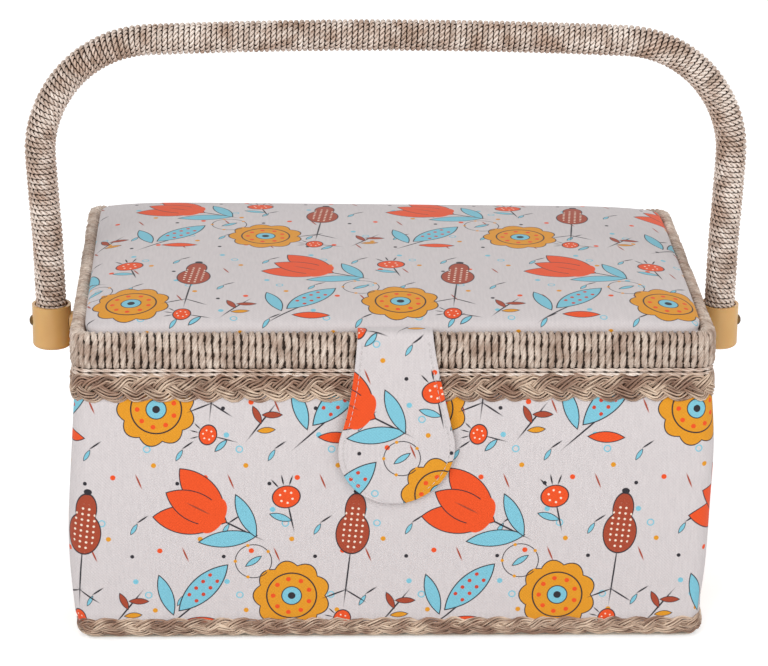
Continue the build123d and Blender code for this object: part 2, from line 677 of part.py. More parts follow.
# Butt hinges at the back, each with two leaves, a pin and countersunk screws
leaf_face = BOX_DEPTH / 2
for place, side_name in zip(hinge_places, ("left", "right")):
    middle_low = place - knuckle_length / 2
    outer_places = (place - HINGE_LENGTH / 2, place + HINGE_LENGTH / 2 - knuckle_length)
    for leaf_side, leaf_name, knuckle_places in ((-1, "body", outer_places), (1, "lid", (middle_low,))):
        with BuildPart() as leaf:
            leaf_start = KNUCKLE_RADIUS + SOFT_GAP
            with BuildSketch(Plane.XZ.offset(-leaf_face)):
                with Locations((place, hinge_z + leaf_side * (leaf_start + LEAF_REACH) / 2)):
                    Rectangle(HINGE_LENGTH, LEAF_REACH - leaf_start)
            extrude(amount=-LEAF_THICKNESS)
            for knuckle_x in knuckle_places:
                with BuildSketch(Plane.YZ.offset(knuckle_x)):
                    with Locations((hinge_y, hinge_z)):
                        Circle(KNUCKLE_RADIUS)
                    bridge_middle = hinge_z + leaf_side * (leaf_start + LEAF_THICKNESS) / 2
                    with Locations((leaf_face + LEAF_THICKNESS / 2, bridge_middle)):
                        Rectangle(LEAF_THICKNESS, leaf_start + LEAF_THICKNESS)
                extrude(amount=knuckle_length)
            with Locations((place, hinge_y, hinge_z)):
                bore = HINGE_PIN_RADIUS + PIN_GAP
                Cylinder(bore, 2 * HINGE_LENGTH, rotation=(0, 90, 0), mode=Mode.SUBTRACT)
            screw_height = hinge_z + leaf_side * SCREW_RISE
            with BuildSketch(Plane.XZ.offset(-leaf_face)):
                with Locations((place, screw_height)):
                    with GridLocations(SCREW_SPACING, 0, 2, 1):
                        Circle(SCREW_RADIUS)
            with BuildSketch(Plane.XZ.offset(-leaf_face - LEAF_THICKNESS)):
                with Locations((place, screw_height)):
                    with GridLocations(SCREW_SPACING, 0, 2, 1):
                        Circle(SCREW_HEAD_RADIUS)
            loft(mode=Mode.SUBTRACT)
        save(leaf, f"hinge_{leaf_name}_leaf_{side_name}")

    with BuildPart() as hinge_pin:
        pin_start = place - HINGE_LENGTH / 2 - HINGE_PIN_HEAD_THICKNESS
        pin_end = place + HINGE_LENGTH / 2
        with BuildSketch(Plane.YZ.offset(pin_start)):
            with Locations((hinge_y, hinge_z)):
                Circle(HINGE_PIN_HEAD_RADIUS)
        extrude(amount=HINGE_PIN_HEAD_THICKNESS)
        with BuildSketch(Plane.YZ.offset(pin_end)):
            with Locations((hinge_y, hinge_z)):
                Circle(HINGE_PIN_HEAD_RADIUS)
        extrude(amount=HINGE_PIN_HEAD_THICKNESS)
        with BuildSketch(Plane.YZ.offset(pin_start)):
            with Locations((hinge_y, hinge_z)):
                Circle(HINGE_PIN_RADIUS)
        extrude(amount=HINGE_LENGTH + HINGE_PIN_HEAD_THICKNESS)
    save(hinge_pin, f"hinge_pin_{side_name}")

for leaf_side, leaf_name in ((-1, "body"), (1, "lid")):
    with BuildPart() as hinge_screws:
        for x, y, z in screw_places(leaf_side):
            with BuildSketch(Plane(origin=(x, y + LEAF_THICKNESS, z), z_dir=(0, -1, 0))):
                Circle(SCREW_HEAD_RADIUS)
            with BuildSketch(Plane(origin=(x, y, z), z_dir=(0, -1, 0))):
                Circle(SCREW_RADIUS)
            loft()
            with BuildSketch(Plane(origin=(x, y, z), z_dir=(0, -1, 0))):
                Circle(SCREW_RADIUS)
            extrude(amount=SCREW_LENGTH)
    save(hinge_screws, f"hinge_screws_{leaf_name}")

# Lift-out tray with one long front compartment and a row of rear ones
with BuildPart() as tray:
    with BuildSketch(Plane.XY.offset(tray_low)):
        RectangleRounded(BOX_WIDTH - 2 * tray_inset, BOX_DEPTH - 2 * tray_inset, TRAY_CORNER)
    extrude(amount=TRAY_HEIGHT)
    front_cell_y = -(tray_inner_depth - front_cell_depth) / 2
    rear_cell_y = (tray_inner_depth - rear_cell_depth) / 2
    with BuildSketch(Plane.XY.offset(tray_low + TRAY_WALL)):
        with Locations((0, front_cell_y)):
            RectangleRounded(tray_inner_width, front_cell_depth, TRAY_CORNER - TRAY_WALL)
        with Locations((0, rear_cell_y)):
            with GridLocations(rear_cell_width + TRAY_WALL, 0, TRAY_REAR_CELLS, 1):
                RectangleRounded(rear_cell_width, rear_cell_depth, TRAY_CORNER - TRAY_WALL)
    extrude(amount=TRAY_HEIGHT, mode=Mode.SUBTRACT)
    # Finger grips in the two end walls
    with BuildSketch(Plane.YZ.offset(-BOX_WIDTH / 2)):
        with Locations((front_cell_y, tray_top)):
            SlotCenterToCenter(GRIP_WIDTH - 2 * GRIP_DEPTH, 2 * GRIP_DEPTH)
    extrude(amount=BOX_WIDTH, mode=Mode.SUBTRACT)
save(tray, "tray")

for side, side_name in ((-1, "left"), (1, "right")):
    with BuildPart() as tray_ledge:
        ledge_x = side * (BOX_WIDTH / 2 - inside_inset - LEDGE_WIDTH / 2)
        with BuildSketch(Plane.XY.offset(ledge_top - LEDGE_HEIGHT)):
            with Locations((ledge_x, 0)):
                Rectangle(LEDGE_WIDTH, LEDGE_LENGTH)
        extrude(amount=LEDGE_HEIGHT)
    save(tray_ledge, f"tray_ledge_{side_name}")
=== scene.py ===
"""Cloth-covered storage box with a padded lid, a wound swing handle and a lift-out tray, dressed for show.

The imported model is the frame: the origin is the centre of the underside, +X is to the right of the
front face, +Y goes to the back and +Z goes up. Sizes are in millimetres, and become metres where a
mesh is made.
"""

import json
import logging
import math
from dataclasses import dataclass
from enum import Enum
from functools import partial

import bpy
import numpy as np
from mathutils import Matrix


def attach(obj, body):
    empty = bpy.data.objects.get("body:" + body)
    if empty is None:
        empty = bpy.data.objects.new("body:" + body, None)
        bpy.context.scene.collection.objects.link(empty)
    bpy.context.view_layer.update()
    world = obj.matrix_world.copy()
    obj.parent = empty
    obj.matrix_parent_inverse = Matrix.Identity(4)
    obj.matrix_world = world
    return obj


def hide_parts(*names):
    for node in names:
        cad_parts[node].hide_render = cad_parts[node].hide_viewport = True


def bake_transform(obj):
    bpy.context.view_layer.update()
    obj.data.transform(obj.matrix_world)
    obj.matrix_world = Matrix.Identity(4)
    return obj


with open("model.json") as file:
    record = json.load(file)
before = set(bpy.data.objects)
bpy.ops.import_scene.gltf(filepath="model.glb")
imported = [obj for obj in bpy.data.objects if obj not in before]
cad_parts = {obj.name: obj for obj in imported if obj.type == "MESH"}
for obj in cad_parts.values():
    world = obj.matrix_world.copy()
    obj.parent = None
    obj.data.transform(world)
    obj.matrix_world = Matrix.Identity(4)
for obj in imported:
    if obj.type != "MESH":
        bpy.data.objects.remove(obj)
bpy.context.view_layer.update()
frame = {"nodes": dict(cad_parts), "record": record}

MM = 0.001
TAU = 2 * math.pi
BACK = np.array([0.0, 1.0, 0.0])
UP = np.array([0.0, 0.0, 1.0])
LOG = logging.getLogger("storage_box")


# Shape helpers


def wander(count: int, waves: int, seed: int) -> np.ndarray:
    """Make a smooth closed line of random heights from -1 to 1.

    The line is the sum of sine waves that fit the loop a whole number of times, each with a random
    height and phase, divided by its largest height.

    Args:
        count: How many points the loop has.
        waves: The most waves that fit round the loop.
        seed: Seed of the random numbers.

    Returns:
        The heights, one for each point.
    """
    rng = np.random.default_rng(seed)
    fits = np.arange(max(1, waves // 4), waves + 1)
    heights = rng.normal(0, 1, fits.size)
    phases = rng.uniform(0, TAU, fits.size)
    turn = np.linspace(0, TAU, count, endpoint=False)
    line = (heights[:, None] * np.sin(fits[:, None] * turn + phases[:, None])).sum(0)
    return line / np.abs(line).max()


def unit(vectors: np.ndarray) -> np.ndarray:
    """Scale vectors to length 1."""
    return vectors / np.linalg.norm(vectors, axis=-1, keepdims=True)


def ramp(values: np.ndarray, start: float, run: float) -> np.ndarray:
    """Rise straight from 0 at the start to 1 a run further on, and stay level outside."""
    return np.clip((values - start) / run, 0, 1)


def bell(values: np.ndarray, middle: float, spread: float) -> np.ndarray:
    """Give e to the minus squared distance from the middle over a spread in square millimetres."""
    return np.exp(-((values - middle) ** 2) / spread)


def length_so_far(points: np.ndarray, axis: int = 0) -> np.ndarray:
    """Give the length from the first point to each one, along an axis of a line or grid of points."""
    steps = np.linalg.norm(np.diff(points, axis=axis), axis=-1)
    return np.insert(np.cumsum(steps, axis), 0, 0, axis)


def at_lengths(line: np.ndarray, way: np.ndarray) -> np.ndarray:
    """Give the points of a line at lengths along it, straight between its own points."""
    length = length_so_far(line)
    return np.stack([np.interp(way, length, part) for part in line.T], -1)


def surface(
    name: str,
    points: np.ndarray,
    uv: np.ndarray,
    closed_rows: bool = False,
    closed_columns: bool = False,
    flip: bool = False,
) -> bpy.types.Object:
    """Turn grids of points into one smooth mesh of four-sided faces with a UV map.

    Args:
        name: Name of the new piece.
        points: Places in millimetres, as grids x rows x columns x 3.
        uv: Map places, as grids x rows x columns x 2, with one row or column more where the grid closes.
        closed_rows: Whether the last row joins the first.
        closed_columns: Whether the last column joins the first.
        flip: Whether the faces are turned over.

    Returns:
        The new object, linked to the scene.
    """
    grids, rows, columns = points.shape[:3]
    first_row = np.arange(rows if closed_rows else rows - 1)
    first_column = np.arange(columns if closed_columns else columns - 1)
    row, column = np.meshgrid(first_row, first_column, indexing="ij")
    corner_row = np.stack([row, row, row + 1, row + 1], -1)
    corner_column = np.stack([column, column + 1, column + 1, column], -1)
    if flip:
        corner_row, corner_column = corner_row[..., ::-1], corner_column[..., ::-1]
    cells = (corner_row % rows) * columns + corner_column % columns
    starts = np.arange(grids)[:, None, None] * rows * columns
    faces = (cells.reshape(1, -1, 4) + starts).reshape(-1, 4)
    mesh = bpy.data.meshes.new(name)
    mesh.from_pydata((points.reshape(-1, 3) * MM).tolist(), [], faces.tolist())
    corner_uv = uv[:, corner_row, corner_column].astype(np.float32)
    mesh.uv_layers.new(name="UVMap").uv.foreach_set("vector", corner_uv.ravel())
    mesh.shade_smooth()
    piece = bpy.data.objects.new(name, mesh)
    bpy.context.scene.collection.objects.link(piece)
    return piece


def mount(piece: bpy.types.Object, body: str, *nodes: str) -> bpy.types.Object:
    """Let a piece ride on a body, in place of CAD nodes.

    Args:
        piece: The new piece.
        body: The body that carries it.
        nodes: The nodes that it replaces.

    Returns:
        The piece.
    """
    if nodes:
        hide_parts(*nodes)
    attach(piece, body)
    return piece


def thicken(cloth: bpy.types.Object, millimetres: float) -> None:
    """Give a cloth its thickness, on the side that doesn't show."""
    wall = cloth.modifiers.new("cloth_thickness", "SOLIDIFY")
    wall.thickness, wall.offset = millimetres * MM, -1.0


def carried(
    centres: np.ndarray, across: np.ndarray, outward: np.ndarray, radii: tuple, sides: int
) -> np.ndarray:
    """Carry an oval along a line.

    Each ring is the line's point plus across times the cosine and outward times the sine of the angle
    round the oval, scaled by its two radii.

    Args:
        centres: Points of the line, as ... x 3.
        across: Unit directions across the line, one a point, or one for all.
        outward: Unit directions square to both.
        radii: The oval's radii along across and outward, as numbers or as arrays of one a point.
        sides: Points round the oval.

    Returns:
        The rings, as ... x sides x 3.
    """
    angle = np.arange(sides)[:, None] * TAU / sides
    wide, thick = (np.broadcast_to(radius, centres.shape[:-1])[..., None, None] for radius in radii)
    ring = wide * np.cos(angle) * across[..., None, :] + thick * np.sin(angle) * outward[..., None, :]
    return centres[..., None, :] + ring


def tube_map(lengths: np.ndarray, sides: int) -> np.ndarray:
    """Map tubes by their length in metres and the share of the way round.

    Args:
        lengths: Length so far in millimetres, as grids x rows.
        sides: Points round the tube.

    Returns:
        The map, as grids x rows x (sides + 1) x 2.
    """
    along = np.broadcast_to(lengths[..., None] * MM, (*lengths.shape, sides + 1))
    return np.stack([along, np.broadcast_to(np.linspace(0, 1, sides + 1), along.shape)], -1)


@dataclass(frozen=True)
class Twist:
    """How two strands make a cord: length of a whole turn, then a strand's distance out, radii and sides."""

    pitch: float
    spread: float
    radii: tuple[float, float]
    sides: int

    def lay(self, path: np.ndarray, outward: np.ndarray, closed: bool) -> tuple[np.ndarray, np.ndarray]:
        """Twist the strands round a path.

        Each strand's middle turns about the path once in a pitch, right-handed, and the two stand on
        opposite sides. A strand is oval, because the two press each other flat.

        Args:
            path: The cord's middle line in millimetres, as points x 3.
            outward: Directions that point away from what the cord lies on, one a point.
            closed: Whether the path closes on itself.

        Returns:
            Grid points and their map, ready for surface().
        """
        length = length_so_far(np.concatenate([path, path[:1]]) if closed else path)
        along = unit(np.roll(path, -1, 0) - np.roll(path, 1, 0) if closed else np.gradient(path, axis=0))
        second = unit(np.cross(along, outward))
        first = np.cross(second, along)
        turns = max(1, round(length[-1] / self.pitch)) / length[-1]
        phase = TAU * (turns * length[: len(path)] + np.array([[0.0], [0.5]]))
        side = np.cos(phase)[..., None] * first + np.sin(phase)[..., None] * second
        rings = carried(path + self.spread * side, side, np.cross(along, side), self.radii, self.sides)
        return rings, tube_map(np.broadcast_to(length, (2, length.size)), self.sides)


@dataclass(frozen=True)
class Plan:
    """Rounded rectangle seen from above, walked anticlockwise from the middle of the back."""

    width: float
    depth: float
    corner: float

    def outline(self) -> tuple[np.ndarray, np.ndarray, np.ndarray]:
        """Trace the four corner arcs, which straight sides join.

        Returns:
            Points close together on the arcs, their outward angles and their lengths so far.
        """
        steps = 25
        angle = (np.arange(1, 5)[:, None] * math.pi / 2 + np.linspace(0, math.pi / 2, steps)).ravel()
        side_x = np.repeat([-1, -1, 1, 1], steps) * (self.width / 2 - self.corner)
        side_y = np.repeat([1, -1, -1, 1], steps) * (self.depth / 2 - self.corner)
        arcs = np.stack([side_x + self.corner * np.cos(angle), side_y + self.corner * np.sin(angle)], -1)
        start = [[0, self.depth / 2]]
        points = np.concatenate([start, arcs, start])
        return points, np.concatenate([[math.pi / 2], angle, [math.pi * 2.5]]), length_so_far(points)

    @property
    def girth(self) -> float:
        """Length of the outline."""
        return float(self.outline()[2][-1])

    def walk(self, shares: np.ndarray) -> tuple[np.ndarray, np.ndarray]:
        """Give places and outward directions at shares of the way round, measured along the outline.

        Args:
            shares: Shares of the girth, which may pass 1.

        Returns:
            Points and unit outward directions, each as shares x 2.
        """
        points, angle, length = self.outline()
        way = (shares % 1.0) * length[-1]
        turned = np.interp(way, length, angle)
        return at_lengths(points, way), np.stack([np.cos(turned), np.sin(turned)], -1)


BOX = Plan(300.0, 200.0, 9.0)


def lifted(plan_points: np.ndarray, outward: np.ndarray, inset: np.ndarray, height: np.ndarray) -> np.ndarray:
    """Give places in space from a plan: each point moved in by its inset and set at its height."""
    flat = plan_points - outward * inset[..., None]
    return np.concatenate([flat, np.broadcast_to(height, flat.shape[:-1])[..., None]], -1)


def girdle(
    name: str, inset: np.ndarray, height: np.ndarray, up: np.ndarray, columns: int, flip: bool = False
) -> bpy.types.Object:
    """Lay a sheet round the box: its plan moved in by the inset, mapped by girth and length upwards.

    Args:
        name: Name of the new piece.
        inset: How far in each point lies, as rows x columns or rows x 1.
        height: Height of each row, as rows x 1.
        up: Length up the sheet at each row.
        columns: Points round the box.
        flip: Whether the faces look inwards.

    Returns:
        The new sheet.
    """
    points, outward = BOX.walk(np.arange(columns) / columns)
    places = lifted(points[None], outward[None], inset, height)[None]
    mapped = np.stack(np.meshgrid(np.linspace(0, BOX.girth, columns + 1) * MM, up * MM), -1)[None]
    return surface(name, places, mapped, closed_columns=True, flip=flip)


def settled(places: np.ndarray) -> np.ndarray:
    """Give how far the lid has settled: a plane plus a slight twist, lowest at the front left corner."""
    x, y = places[..., 0] / 150, places[..., 1] / 100
    return -0.425 - 0.475 * x + 0.975 * y - 0.975 * x * y


# Finishes


def linear(code: str) -> tuple[float, float, float, float]:
    """Turn an sRGB colour such as "#C89A5A" into the linear colour that shaders take."""
    parts = [int(code[i : i + 2], 16) / 255 for i in (1, 3, 5)]
    return (*(p / 12.92 if p <= 0.04045 else ((p + 0.055) / 1.055) ** 2.4 for p in parts), 1.0)


@dataclass(frozen=True)
class Output:
    """What comes out of a node, with the tree that the node is in."""

    tree: bpy.types.NodeTree
    socket: bpy.types.NodeSocket


def add_node(tree: bpy.types.NodeTree, kind: str, inputs: dict, **settings: object) -> bpy.types.Node:
    """Add one node with its settings, and give each input a value, a colour or a link.

    Args:
        tree: The material's node tree.
        kind: Blender's name for the node.
        inputs: Values, colour codes or other nodes' outputs, by the name or number of the input.
        settings: The node's own properties.

    Returns:
        The new node.
    """
    node = tree.nodes.new(kind)
    for key, value in settings.items():
        setattr(node, key, value)
    for key, value in inputs.items():
        if isinstance(value, (Output, bpy.types.NodeSocket)):
            tree.links.new(getattr(value, "socket", value), node.inputs[key])
        else:
            node.inputs[key].default_value = linear(value) if isinstance(value, str) else value
    return node


class Field(Output):
    """A number that varies over a surface, which Python's own signs can work on."""

    def work(self, operation: str, *others: object, clamp: bool = False) -> "Field":
        """Put the field through one arithmetic step.

        Args:
            operation: Blender's name for the step.
            others: Other fields or numbers that it takes.
            clamp: Whether the result is kept between 0 and 1.

        Returns:
            The new field.
        """
        given = dict(enumerate((self, *others)))
        node = add_node(self.tree, "ShaderNodeMath", given, operation=operation, use_clamp=clamp)
        return Field(self.tree, node.outputs[0])

    def __add__(self, other: object) -> "Field":
        """Add a field or a number."""
        return self.work("ADD", other)

    def __sub__(self, other: object) -> "Field":
        """Take away a field or a number."""
        return self.work("SUBTRACT", other)

    def __mul__(self, other: object) -> "Field":
        """Multiply by a field or a number."""
        return self.work("MULTIPLY", other)

    def times_plus(self, factor: float, more: float) -> "Field":
        """Multiply by a number, add another and keep the result between 0 and 1."""
        return self.work("MULTIPLY_ADD", factor, more, clamp=True)

    def inside(self) -> "Field":
        """Turn a distance into 1 inside and 0 outside, with an edge a quarter of a millimetre wide."""
        return self.times_plus(-4.0, 0.5)


class Arrow(Output):
    """A vector that varies over a surface."""

    def work(self, operation: str, *others: object) -> "Arrow":
        """Put the vector through one step.

        Args:
            operation: Blender's name for the step.
            others: Other vectors that it takes.

        Returns:
            The new vector.
        """
        given = dict(enumerate((self, *others)))
        node = add_node(self.tree, "ShaderNodeVectorMath", given, operation=operation)
        return Arrow(self.tree, node.outputs["Vector"])

    def length(self) -> Field:
        """Give the vector's length."""
        node = add_node(self.tree, "ShaderNodeVectorMath", {0: self}, operation="LENGTH")
        return Field(self.tree, node.outputs["Value"])

    def parts(self) -> list[Field]:
        """Give the vector's x, y and z."""
        node = add_node(self.tree, "ShaderNodeSeparateXYZ", {0: self})
        return [Field(self.tree, part) for part in node.outputs]

    def seen_from(self, x: float, y: float, degrees: float) -> "Arrow":
        """Give the vector as seen from a shape's own middle and axes.

        Args:
            x: The middle's place across.
            y: The middle's place upwards.
            degrees: How far the shape's axes are turned.

        Returns:
            The new vector.
        """
        inputs = {0: self, 1: (x, y, 0), 2: (0, 0, math.radians(degrees))}
        node = add_node(self.tree, "ShaderNodeMapping", inputs, vector_type="TEXTURE")
        return Arrow(self.tree, node.outputs[0])

    def repeated(self, wide: float, tall: float) -> "Arrow":
        """Give the place within a cell that repeats, from the cell's middle."""
        share = self.work("DIVIDE", (wide, tall, 1)).work("FRACTION").work("SUBTRACT", (0.5, 0.5, 0))
        return share.work("MULTIPLY", (wide, tall, 0))


class Finish:
    """A new material with its shader, and the few steps that every finish uses."""

    def __init__(self, name: str, **shader: float) -> None:
        """Make the material.

        Args:
            name: What the finish is called.
            shader: Values of the shader's sockets, by name.
        """
        self.name = name
        self.material = bpy.data.materials.new(name)
        self.material.use_nodes = True
        self.tree = self.material.node_tree
        self.shader = self.tree.nodes["Principled BSDF"]
        for key, value in shader.items():
            self.shader.inputs[key.replace("_", " ")].default_value = value

    def place(self, source: str = "Object") -> Arrow:
        """Give the surface's own coordinates, from the object or from its map."""
        return Arrow(self.tree, add_node(self.tree, "ShaderNodeTexCoord", {}).outputs[source])

    def noise(self, place: Arrow, waves: tuple, detail: float = 2.0, rough: float = 0.55) -> Field:
        """Give soft noise.

        Args:
            place: The surface's coordinates in metres.
            waves: How many waves the noise has in a metre along each axis: 1000 is a grain of 1 mm.
            detail: How many finer layers lie on it.
            rough: How strong the finer layers are.

        Returns:
            The noise, from 0 to 1.
        """
        inputs = {"Vector": place.work("MULTIPLY", waves), "Scale": 1.0, "Detail": detail, "Roughness": rough}
        return Field(self.tree, add_node(self.tree, "ShaderNodeTexNoise", inputs).outputs[0])

    def weave(self, cloth: Arrow, thread: float) -> Field:
        """Give the height of a plain weave: half of one plus the product of a sine wave each way.

        Args:
            cloth: The cloth's own map in metres.
            thread: Spacing of the threads in millimetres, drawn coarser than real so that it shows.

        Returns:
            A height from 0 to 1.
        """
        x, y, _ = cloth.work("MULTIPLY", (math.pi / (thread * MM),) * 3).work("SINE").parts()
        return (x * y).work("MULTIPLY_ADD", 0.5, 0.5)

    def mixed(self, share: Field, low: object, high: object) -> bpy.types.NodeSocket:
        """Give a colour from low to high by a share, each a colour code or an earlier mix."""
        inputs = {"Factor": share, 6: low, 7: high}
        return add_node(self.tree, "ShaderNodeMix", inputs, data_type="RGBA").outputs[2]

    def show(
        self, colour: bpy.types.NodeSocket, height: Field, depth: float, rough: Field | None = None
    ) -> None:
        """Link what the shader shows.

        Args:
            colour: The surface's colour.
            height: What raises and lowers the look of the surface.
            depth: How far that goes, in millimetres.
            rough: The roughness, where it varies.
        """
        raised = {"Height": height, "Distance": depth * MM, "Strength": 1.0}
        bump = add_node(self.tree, "ShaderNodeBump", raised)
        self.tree.links.new(colour, self.shader.inputs["Base Color"])
        self.tree.links.new(bump.outputs[0], self.shader.inputs["Normal"])
        if rough:
            self.tree.links.new(rough.socket, self.shader.inputs["Roughness"])


class Mark(Enum):
    """Kinds of printed shape."""

    OVAL = "oval"
    LEAF = "leaf"
    RING = "ring"
    PETALS = "petals"
    BEADS = "beads"
    SPECKS = "specks"


class Ink(Enum):
    """Inks of the printed cotton."""

    ORANGE = "#E4501F"
    MUSTARD = "#DA9322"
    RUST = "#A2452D"
    TEAL = "#7ABDCF"
    RED = "#C5412B"
    CREAM = "#F0DECB"
    DARK = "#2C2A30"


@dataclass(frozen=True)
class Stamp:
    """One printed shape of a motif, in millimetres and degrees from the motif's middle.

    Wide and tall are half its size. For a ring or beads they are the circle's radius and half the
    thickness of what lies on it, and for petals their reach and the depth between two. Line is the width
    of the dark outline, and count the number of petals or beads, or the specks' spacing.
    """

    mark: Mark
    x: float
    y: float
    wide: float
    tall: float
    angle: float
    ink: Ink
    line: float = 0.0
    count: int = 0


@dataclass(frozen=True)
class Placed:
    """A motif at a place of the repeat, turned by degrees and scaled."""

    stamps: tuple
    x: float
    y: float
    angle: float = 0.0
    size: float = 1.0


@dataclass(frozen=True)
class Repeat:
    """A cell that repeats over the cloth, with every other row moved along by half a cell."""

    wide: float
    tall: float
    motifs: tuple


def stroke(x: float, y: float, length: float, angle: float, ink: Ink = Ink.DARK) -> Stamp:
    """Give a thin brush line that tapers to both ends."""
    return Stamp(Mark.OVAL, x, y, length / 2, 0.42, angle, ink)


oval, leaf, ring, petals, beads, specks = (partial(Stamp, mark) for mark in Mark)

TULIP = (
    stroke(0, -17, 26, 90),
    leaf(-7, -17, 14, 4.2, 125, Ink.TEAL, 0.5),
    leaf(7, -19, 12, 3.6, 52, Ink.TEAL, 0.5),
    leaf(-7.5, 4, 16, 7.2, 112, Ink.ORANGE, 0.5),
    leaf(7.5, 4, 16, 7.2, 68, Ink.ORANGE, 0.5),
    leaf(0, 3, 16, 7.4, 90, Ink.ORANGE, 0.5),
    oval(0, -5.5, 9.5, 5.5, 0, Ink.ORANGE),
    stroke(0, 2, 11, 90, Ink.RUST),
)
ROSETTE = (
    petals(0, 0, 16.5, 2.2, 0, Ink.MUSTARD, 0.55, 9),
    ring(0, 0, 10.5, 0.35, 0, Ink.DARK),
    beads(0, 0, 7.8, 1.0, 0, Ink.ORANGE, 0.0, 9),
    oval(0, 0, 4.4, 4.4, 0, Ink.TEAL, 0.5),
    oval(0, 0, 1.6, 1.6, 0, Ink.DARK),
)
SEED_POD = (
    stroke(0, -27, 30, 90),
    stroke(-5, -38, 12, 28),
    stroke(5, -38, 12, 152),
    oval(0, 9, 5.4, 9, 0, Ink.RUST, 0.5),
    oval(0, -4, 8.6, 11.5, 0, Ink.RUST, 0.5),
    oval(0, 8, 4.8, 8, 0, Ink.RUST),
    specks(0, -1, 13.2, 5.8, 90, Ink.CREAM, 0.0, 3),
    oval(0, 18.6, 2.0, 1.6, 0, Ink.DARK),
)
LEAF_PAIR = (
    stroke(-2, -10, 26, 62),
    leaf(3, 8, 18, 6.4, 66, Ink.TEAL, 0.55),
    specks(3, 8, 12.5, 4.2, 66, Ink.RED, 0.0, 5),
    leaf(-13, -2, 12, 3.6, 128, Ink.TEAL, 0.5),
    leaf(9, -10, 9.5, 3.0, 18, Ink.ORANGE, 0.45),
)
BERRY = (
    stroke(0, -8, 14, 90),
    leaf(-5, -7, 6, 2.0, 150, Ink.TEAL, 0.4),
    oval(0, 3, 7.2, 6.0, 0, Ink.ORANGE, 0.5),
    beads(0, 3, 3.2, 0.55, 0, Ink.CREAM, 0.0, 6),
    *(stroke(x, y, 5, angle) for x, y, angle in ((-4, 11, 120), (0, 12, 90), (4, 11, 60))),
)
WREATH = (
    ring(0, 0, 9.5, 0.22, 0, Ink.DARK),
    beads(0, 0, 9.5, 0.9, 0, Ink.MUSTARD, 0.0, 5),
    leaf(0, 0, 5.5, 1.7, 35, Ink.TEAL, 0.4),
)
SPRIG = (
    stroke(0, 0, 20, 78),
    leaf(3, 5, 5, 1.7, 25, Ink.RUST, 0.35),
    leaf(-3.4, 2, 5, 1.7, 140, Ink.RUST, 0.35),
    leaf(3.6, -3, 4.5, 1.6, 30, Ink.MUSTARD, 0.35),
)
DASHES = (
    stroke(-12, 7, 6, 35),
    oval(6, 12, 1.3, 1.3, 0, Ink.TEAL),
    oval(-4, -9, 1.25, 1.25, 0, Ink.ORANGE),
    oval(15, -3, 1.2, 1.2, 0, Ink.MUSTARD),
    oval(-17, -12, 0.95, 0.95, 0, Ink.DARK),
    ring(12, 5, 1.5, 0.3, 0, Ink.TEAL),
    stroke(8, -11, 7, 112, Ink.RUST),
    leaf(-16, 2, 3.4, 1.1, 60, Ink.TEAL, 0.3),
)
FILLERS = Repeat(43.0, 37.0, (Placed(DASHES, 0, 0),))
GARDEN = Repeat(
    126.0,
    94.0,
    (
        Placed(TULIP, -38, 20, 62, 1.02),
        Placed(ROSETTE, 4, -24, 0, 1.12),
        Placed(SEED_POD, 33, 12, -6, 0.94),
        Placed(LEAF_PAIR, -43, -26, -20, 0.95),
        Placed(BERRY, 2, 24, 12, 0.95),
        Placed(WREATH, -14, -6, 0, 0.9),
        Placed(SPRIG, 53, -30, -25, 1.0),
        Placed(BERRY, 30, -37, 75, 0.72),
    ),
)


